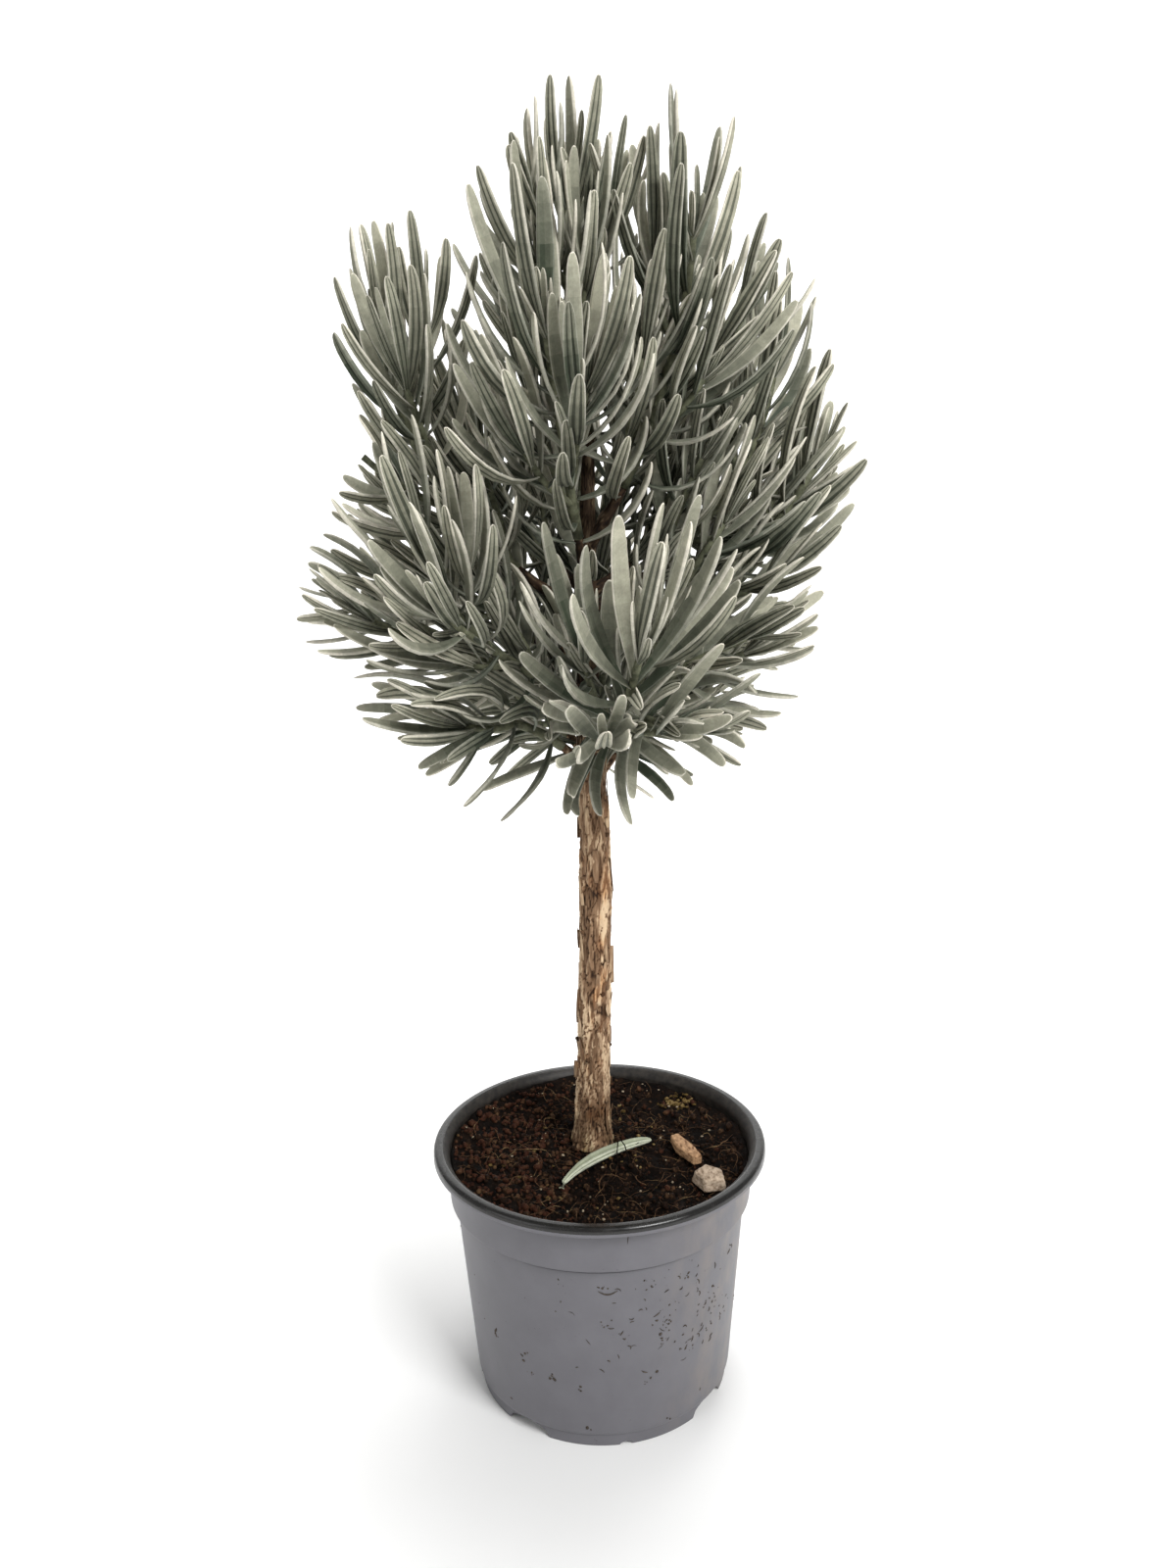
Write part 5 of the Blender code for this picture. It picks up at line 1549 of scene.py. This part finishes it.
def build_fallen_leaf(settings):
    """The dropped leaf that lies bent in front of the trunk, paler than the living ones."""
    low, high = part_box("fallen_leaf")
    turn = math.radians(FALLEN_TURN)
    leaf = {
        "root": Vector((*FALLEN_START, 0.0)),
        "axis": Vector((math.cos(turn), math.sin(turn), 0.0)),
        "out": Vector((math.sin(turn), -math.cos(turn), 0.0)),
        "length": FALLEN_LENGTH,
        "opening": -0.5 * FALLEN_BEND,
        "closing": -FALLEN_BEND,
        "sway": 0.0,
        "roll": math.radians(90.0),
        "width": FALLEN_WIDTH,
        "age": 0.6,
    }
    faces, kinds = leaf_topology()
    points = leaf_mesh(leaf, random.Random("fallen"))
    lift = low.z - min(p.z for p in points) + 0.4 * MM
    points = [Vector((p.x, p.y, p.z + lift)) for p in points]
    # The rims are paler partly as painted highlight, and the grooves darker as painted shade.
    shades = (settings.fallen_face, settings.fallen_rim, settings.fallen_groove, settings.fallen_rim)
    materials = [felt("felted leaf fallen " + zone, linear(code), settings) for zone, code in zip(ZONES, shades)]
    zones = [ZONES.index(zone) for zone, along, streak in kinds]
    piece = new_mesh_object("fallen_leaf_felted", points, faces, materials, zones)
    return settle(piece, "leaf", "fallen_leaf")


def split_wood(name, dark, light):
    """A split of bark or wood: torn grain, dark and light."""
    material, tree, shader = new_material(name, Roughness=0.78, IOR=1.45, Specular_IOR_Level=0.3)
    place = position(tree)
    torn = grain(tree, place, 1.4 * MM, 5.0, (1.0, 0.45, 1.4))
    shade = add_node(tree, "ShaderNodeValToRGB", {"stops": (
        (0.34, linear(dark)), (0.52, between(dark, light, 0.6)), (0.68, linear(light)),
    )}, {"Fac": torn.outputs["Fac"]})
    connect(tree, shade.outputs["Color"], shader, "Base Color")
    bump = add_node(tree, "ShaderNodeBump", {"Strength": 0.7, "Distance": 0.4 * MM}, {"Height": torn.outputs["Fac"]})
    connect(tree, bump.outputs[0], shader, "Normal")
    return material


def build_chip(node, name, material):
    """A chip grown from its plain solid: subdivided, torn along the grain and broken at the edges."""
    chip = frame["nodes"][node].copy()
    chip.data = frame["nodes"][node].data.copy()
    chip.name = name
    for key in list(chip.keys()):
        del chip[key]
    chip.parent = None
    bpy.context.scene.collection.objects.link(chip)
    form = bmesh.new()
    form.from_mesh(chip.data)
    bmesh.ops.remove_doubles(form, verts=form.verts, dist=0.01 * MM)
    bmesh.ops.subdivide_edges(form, edges=form.edges[:], cuts=5, use_grid_fill=True)
    bmesh.ops.triangulate(form, faces=form.faces)
    form.normal_update()
    for vertex in form.verts:
        coarse = noise.noise(vertex.co / (3.5 * MM))
        fine = noise.noise(Vector((vertex.co.x, vertex.co.y * 0.4, vertex.co.z * 1.6)) / (0.9 * MM))
        vertex.co += vertex.normal * (0.16 * coarse + 0.16 * fine) * MM
    form.to_mesh(chip.data)
    form.free()
    chip.data.materials.clear()
    chip.data.materials.append(material)
    chip.data.shade_smooth()
    chip.data.set_sharp_from_angle(angle=math.radians(26.0))
    return settle(chip, "wood_chip", node)


# Stage

def build_stage(settings):
    """A pale sweep of paper, soft lights and the camera at the photograph's angle."""
    half, depth, height = 4.0, 2.2, 3.0
    rows = []
    for k in range(13):
        angle = 0.5 * math.pi * k / 12
        rows.append((depth + 0.8 * math.sin(angle), 0.8 - 0.8 * math.cos(angle)))
    rows = [(-half, 0.0)] + rows + [(depth + 0.8, height)]
    points = []
    for y, z in rows:
        points += [(-half, y, z), (half, y, z)]
    faces = [(2 * k, 2 * k + 1, 2 * k + 3, 2 * k + 2) for k in range(len(rows) - 1)]
    paper, tree, shader = new_material("backdrop paper matt", Roughness=0.95)
    shader.inputs["Base Color"].default_value = linear(settings.paper)
    floor = new_mesh_object("paper_sweep", points, faces, [paper])

    world = bpy.data.worlds.new("soft room")
    bpy.context.scene.world = world
    world.use_nodes = True
    sky = world.node_tree.nodes["Background"]
    sky.inputs["Color"].default_value = linear(settings.room)
    sky.inputs["Strength"].default_value = settings.room_strength

    view = bpy.context.scene.view_settings
    view.view_transform = "Standard"

    for name, place, aim, size, power in (
        ("key", (0.95, -1.25, 1.5), (0.0, 0.0, 0.3), 0.8, settings.key_power),
        ("fill", (-1.5, -1.0, 0.9), (0.0, 0.0, 0.25), 1.4, settings.fill_power),
        ("top", (0.1, 0.3, 1.9), (0.0, 0.0, 0.3), 0.7, settings.top_power),
        ("wash", (0.0, 1.0, 1.8), (0.0, 3.0, 0.6), 1.6, settings.wash_power),
    ):
        light = bpy.data.lights.new(name, "AREA")
        light.shape = "SQUARE"
        light.size = size
        light.energy = power
        lamp = bpy.data.objects.new(name, light)
        lamp.location = place
        lamp.rotation_euler = (Vector(aim) - Vector(place)).to_track_quat("-Z", "Y").to_euler()
        bpy.context.scene.collection.objects.link(lamp)

    build_camera()


# Camera: focal length in pixels of the 1600 pixel side, place, pitch, yaw and roll
FOCAL_PIXELS = 1250.0
IMAGE_HEIGHT = 1600.0
SENSOR = 36.0
CAMERA_DISTANCE = 0.4753
CAMERA_HEIGHT = 0.3664
PITCH = 12.58
YAW = -0.18
ROLL = -1.24


def build_camera():
    pitch, yaw, roll = math.radians(PITCH), math.radians(YAW), math.radians(ROLL)
    level_right = Vector((math.cos(yaw), -math.sin(yaw), 0.0))
    level_ahead = Vector((math.sin(yaw), math.cos(yaw), 0.0))
    ahead = level_ahead * math.cos(pitch) - UP * math.sin(pitch)
    top = level_ahead * math.sin(pitch) + UP * math.cos(pitch)
    right = level_right * math.cos(roll) + top * math.sin(roll)
    top = top * math.cos(roll) - level_right * math.sin(roll)
    data = bpy.data.cameras.new("camera")
    data.sensor_fit = "AUTO"
    data.sensor_width = SENSOR
    data.lens = FOCAL_PIXELS * SENSOR / IMAGE_HEIGHT
    data.clip_start = 0.01
    camera = bpy.data.objects.new("camera", data)
    turn = Matrix((right, top, -ahead)).transposed().to_4x4()
    camera.matrix_world = Matrix.Translation((0.0, -CAMERA_DISTANCE, CAMERA_HEIGHT)) @ turn
    bpy.context.scene.collection.objects.link(camera)
    bpy.context.scene.camera = camera


# Settings

def colour_setting(name, description, default):
    return StringProperty(name=name, description=description, default=default)


class PotSettings(bpy.types.PropertyGroup):
    """Sizes and colours of the pot"""

    segments: IntProperty(name="Segments", description="Steps round the pot", default=144, min=24)
    strokes: IntProperty(name="Strokes", description="Short hairs of peat dried on the wall", default=64, min=0)
    wall: colour_setting("Wall", "Moulded outside, sRGB hex", "#66656a")
    lip: colour_setting("Lip", "Rolled lip and inside, sRGB hex", "#1d1c1b")
    # Painted shade inside the pot and on the lip's inner half.
    soiled: colour_setting("Soiled", "Peat film on the inside, sRGB hex", "#120f0c")
    # Also paints the wall's right side lighter and warmer: dust and painted light.
    dust: colour_setting("Dust", "Tan dust on the wall, sRGB hex", "#8d8174")
    mark: colour_setting("Marks", "Dried peat on the wall, sRGB hex", "#2a221a")


class PeatSettings(bpy.types.PropertyGroup):
    """Sizes and colours of the peat and what lies in it"""

    rings: IntProperty(name="Rings", description="Rings of the relief grid", default=90, min=10)
    spokes: IntProperty(name="Spokes", description="Spokes of the relief grid", default=260, min=24)
    crumbs: IntProperty(name="Crumbs", description="Loose crumbs", default=2600, min=0)
    grains: IntProperty(name="Grains", description="Pale grains of perlite", default=90, min=0)
    foot_crumbs: IntProperty(name="Foot crumbs", description="Crumbs heaped against the trunk", default=110, min=0)
    rootlets: IntProperty(name="Rootlets", description="Rootlets and fibres", default=240, min=0)
    moss_lumps: IntProperty(name="Moss", description="Lumps of pale moss", default=110, min=0)
    peat: colour_setting("Peat", "Moist bed, sRGB hex", "#0d0704")
    crumb: colour_setting("Crumb", "Dark crumbs, sRGB hex", "#22150d")
    red_crumb: colour_setting("Red crumb", "Red-brown crumbs, sRGB hex", "#3c2217")
    fibre: colour_setting("Fibre", "Brown fibres, sRGB hex", "#56402d")
    rootlet: colour_setting("Rootlet", "Tan rootlets, sRGB hex", "#5a4230")
    perlite: colour_setting("Perlite", "Pale grains, sRGB hex", "#a3947e")
    moss: colour_setting("Moss", "Dry moss, sRGB hex", "#5e4c2a")
    pale_moss: colour_setting("Pale moss", "Pale tips of moss and rootlets, sRGB hex", "#94805a")


class BarkSettings(bpy.types.PropertyGroup):
    """Sizes and colours of the woody frame"""

    around: IntProperty(name="Around", description="Steps round the trunk", default=96, min=12)
    along: IntProperty(name="Along", description="Steps up the trunk", default=460, min=20)
    flakes: IntProperty(name="Flakes", description="Lifted flakes of bark", default=120, min=0)
    fissure: colour_setting("Fissure", "Bottom of the fissures, sRGB hex", "#2b1b0f")
    bark_dark: colour_setting("Dark bark", "Low bark, sRGB hex", "#5d442f")
    bark_mid: colour_setting("Mid bark", "Plates, sRGB hex", "#8b6e54")
    bark_light: colour_setting("Light bark", "Papery plates, sRGB hex", "#d6bb99")
    fresh_bark: colour_setting("Fresh bark", "Tint of fresh patches, sRGB hex", "#ffd2a0")
    algae: colour_setting("Green foot", "Tint of the damp foot, sRGB hex", "#8f9a70")
    # Painted shade on the wood inside the crown.
    shaded: colour_setting("Wood in the crown", "Tint of the wood among the leaves, sRGB hex", "#5c5a52")
    stem_dark: colour_setting("Stem", "Older green stems, sRGB hex", "#3c3f2d")
    stem_light: colour_setting("Young stem", "Felted young stems, sRGB hex", "#74765e")


class LeafSettings(bpy.types.PropertyGroup):
    """Colours of the leaves"""

    upper_dark: colour_setting("Upper, dark", "Darkest upper face, sRGB hex", "#3c4335")
    upper_pale: colour_setting("Upper, pale", "Palest upper face, sRGB hex", "#b0ae9b")
    # Rims: paler felt and painted highlight on the rolled edges.
    rim_dark: colour_setting("Rim, dark", "Darkest rolled rim, sRGB hex", "#6e7265")
    rim_pale: colour_setting("Rim, pale", "Palest rolled rim, sRGB hex", "#e2dccc")
    # Channels: painted shade in the grooves underneath.
    channel_dark: colour_setting("Channel, dark", "Darkest channel underneath, sRGB hex", "#272c21")
    channel_pale: colour_setting("Channel, pale", "Palest channel underneath, sRGB hex", "#696b5d")
    rib_dark: colour_setting("Rib, dark", "Darkest rib underneath, sRGB hex", "#565a4c")
    rib_pale: colour_setting("Rib, pale", "Palest rib underneath, sRGB hex", "#aaa795")
    fallen_face: colour_setting("Fallen, face", "Face of the fallen leaf, sRGB hex", "#a3a891")
    # Rims: paler felt and painted highlight.
    fallen_rim: colour_setting("Fallen, rim", "Rims and rib of the fallen leaf, sRGB hex", "#c3c7b2")
    # Grooves: painted shade.
    fallen_groove: colour_setting("Fallen, groove", "Grooves of the fallen leaf, sRGB hex", "#8c927b")
    bloom: FloatProperty(name="Bloom", description="Strength of the felt's sheen", default=0.12, min=0.0, max=1.0)
    bloom_tint: colour_setting("Bloom tint", "Colour of the felt's sheen, sRGB hex", "#e6e8da")


class LitterSettings(bpy.types.PropertyGroup):
    """Colours of the wood chips"""

    tan_dark: colour_setting("Tan, dark", "Dark grain of the tan chip, sRGB hex", "#6b4a31")
    tan_light: colour_setting("Tan, light", "Light grain of the tan chip, sRGB hex", "#c9a27b")
    grey_dark: colour_setting("Grey, dark", "Dark grain of the grey chip, sRGB hex", "#7a6450")
    grey_light: colour_setting("Grey, light", "Light grain of the grey chip, sRGB hex", "#d3bfa8")


class StageSettings(bpy.types.PropertyGroup):
    """Paper sweep and lights"""

    paper: colour_setting("Paper", "Backdrop paper, sRGB hex", "#f4f4f3")
    room: colour_setting("Room", "Light of the room, sRGB hex", "#ffffff")
    room_strength: FloatProperty(name="Room strength", description="Strength of the room's light", default=0.3, min=0.0)
    key_power: FloatProperty(name="Key", description="Power of the key light", default=36.0, unit="POWER", min=0.0)
    fill_power: FloatProperty(name="Fill", description="Power of the fill light", default=7.0, unit="POWER", min=0.0)
    top_power: FloatProperty(name="Top", description="Power of the top light", default=24.0, unit="POWER", min=0.0)
    wash_power: FloatProperty(name="Wash", description="Power of the backdrop's light", default=60.0, unit="POWER", min=0.0)


# Operators

class LAVENDER_OT_pot(bpy.types.Operator):
    """Build the moulded pot and the dirt dried on its wall"""

    bl_idname = "lavender.pot"
    bl_label = "Pot"

    def execute(self, context):
        build_pot(context.scene.lavender_pot)
        build_dirt(context.scene.lavender_pot)
        return {"FINISHED"}


class LAVENDER_OT_peat(bpy.types.Operator):
    """Build the peat with its crumbs, moss and rootlets"""

    bl_idname = "lavender.peat"
    bl_label = "Peat"

    def execute(self, context):
        settings = context.scene.lavender_peat
        build_peat_bed(settings)
        build_crumbs(settings)
        build_rootlets(settings)
        return {"FINISHED"}


class LAVENDER_OT_wood(bpy.types.Operator):
    """Build the trunk with its bark, the lifted flakes and the boughs"""

    bl_idname = "lavender.wood"
    bl_label = "Trunk and boughs"

    def execute(self, context):
        settings = context.scene.lavender_bark
        trunk, material = build_trunk(settings)
        build_flakes(settings, material)
        build_boughs(material)
        return {"FINISHED"}


class LAVENDER_OT_foliage(bpy.types.Operator):
    """Grow the leafy stems and the leaves, and lay the fallen leaf on the peat"""

    bl_idname = "lavender.foliage"
    bl_label = "Foliage"

    def execute(self, context):
        crown = grow_crown()
        build_stems(crown, context.scene.lavender_bark)
        materials = leaf_materials(context.scene.lavender_leaf)
        names = list(crown)
        share = math.ceil(len(names) / 5)
        for index in range(5):
            masses = names[index * share:(index + 1) * share]
            leaves = [leaf for name in masses for leaf in crown[name][1]]
            build_leaves("leaves_%d" % (index + 1), leaves, masses, materials)
        build_fallen_leaf(context.scene.lavender_leaf)
        return {"FINISHED"}


class LAVENDER_OT_chips(bpy.types.Operator):
    """Build the two wood chips that lie on the peat"""

    bl_idname = "lavender.chips"
    bl_label = "Wood chips"

    def execute(self, context):
        settings = context.scene.lavender_litter
        build_chip("wood_chip_long", "bark_chip_tan", split_wood("pine bark split tan", settings.tan_dark, settings.tan_light))
        build_chip("wood_chip_short", "bark_chip_grey", split_wood("pine bark weathered grey", settings.grey_dark, settings.grey_light))
        return {"FINISHED"}


class LAVENDER_OT_stage(bpy.types.Operator):
    """Set up the paper sweep, the lights and the camera"""

    bl_idname = "lavender.stage"
    bl_label = "Stage"

    def execute(self, context):
        build_stage(context.scene.lavender_stage)
        return {"FINISHED"}


class LAVENDER_PT_build(bpy.types.Panel):
    """Lists the pieces of the plant"""

    bl_idname = "LAVENDER_PT_build"
    bl_label = "Potted lavender"
    bl_space_type = "VIEW_3D"
    bl_region_type = "UI"
    bl_category = "Lavender"

    def draw(self, context):
        for operator in OPERATORS:
            self.layout.operator(operator.bl_idname)


OPERATORS = (
    LAVENDER_OT_stage,
    LAVENDER_OT_pot,
    LAVENDER_OT_peat,
    LAVENDER_OT_wood,
    LAVENDER_OT_foliage,
    LAVENDER_OT_chips,
)
GROUPS = {
    "lavender_pot": PotSettings,
    "lavender_peat": PeatSettings,
    "lavender_bark": BarkSettings,
    "lavender_leaf": LeafSettings,
    "lavender_litter": LitterSettings,
    "lavender_stage": StageSettings,
}


def register():
    for group in GROUPS.values():
        bpy.utils.register_class(group)
    for name, group in GROUPS.items():
        setattr(bpy.types.Scene, name, PointerProperty(type=group))
    for operator in OPERATORS:
        bpy.utils.register_class(operator)
    bpy.utils.register_class(LAVENDER_PT_build)


def unregister():
    bpy.utils.unregister_class(LAVENDER_PT_build)
    for operator in reversed(OPERATORS):
        bpy.utils.unregister_class(operator)
    for name in GROUPS:
        delattr(bpy.types.Scene, name)
    for group in reversed(GROUPS.values()):
        bpy.utils.unregister_class(group)


def write_sizes():
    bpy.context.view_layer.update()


def main():
    for thing in list(bpy.data.objects):
        if thing.type in {"CAMERA", "LIGHT"}:
            bpy.data.objects.remove(thing, do_unlink=True)
    register()
    bpy.ops.lavender.stage()
    bpy.ops.lavender.pot()
    bpy.ops.lavender.peat()
    bpy.ops.lavender.wood()
    bpy.ops.lavender.foliage()
    bpy.ops.lavender.chips()
    write_sizes()


if __name__ == "__main__":
    main()
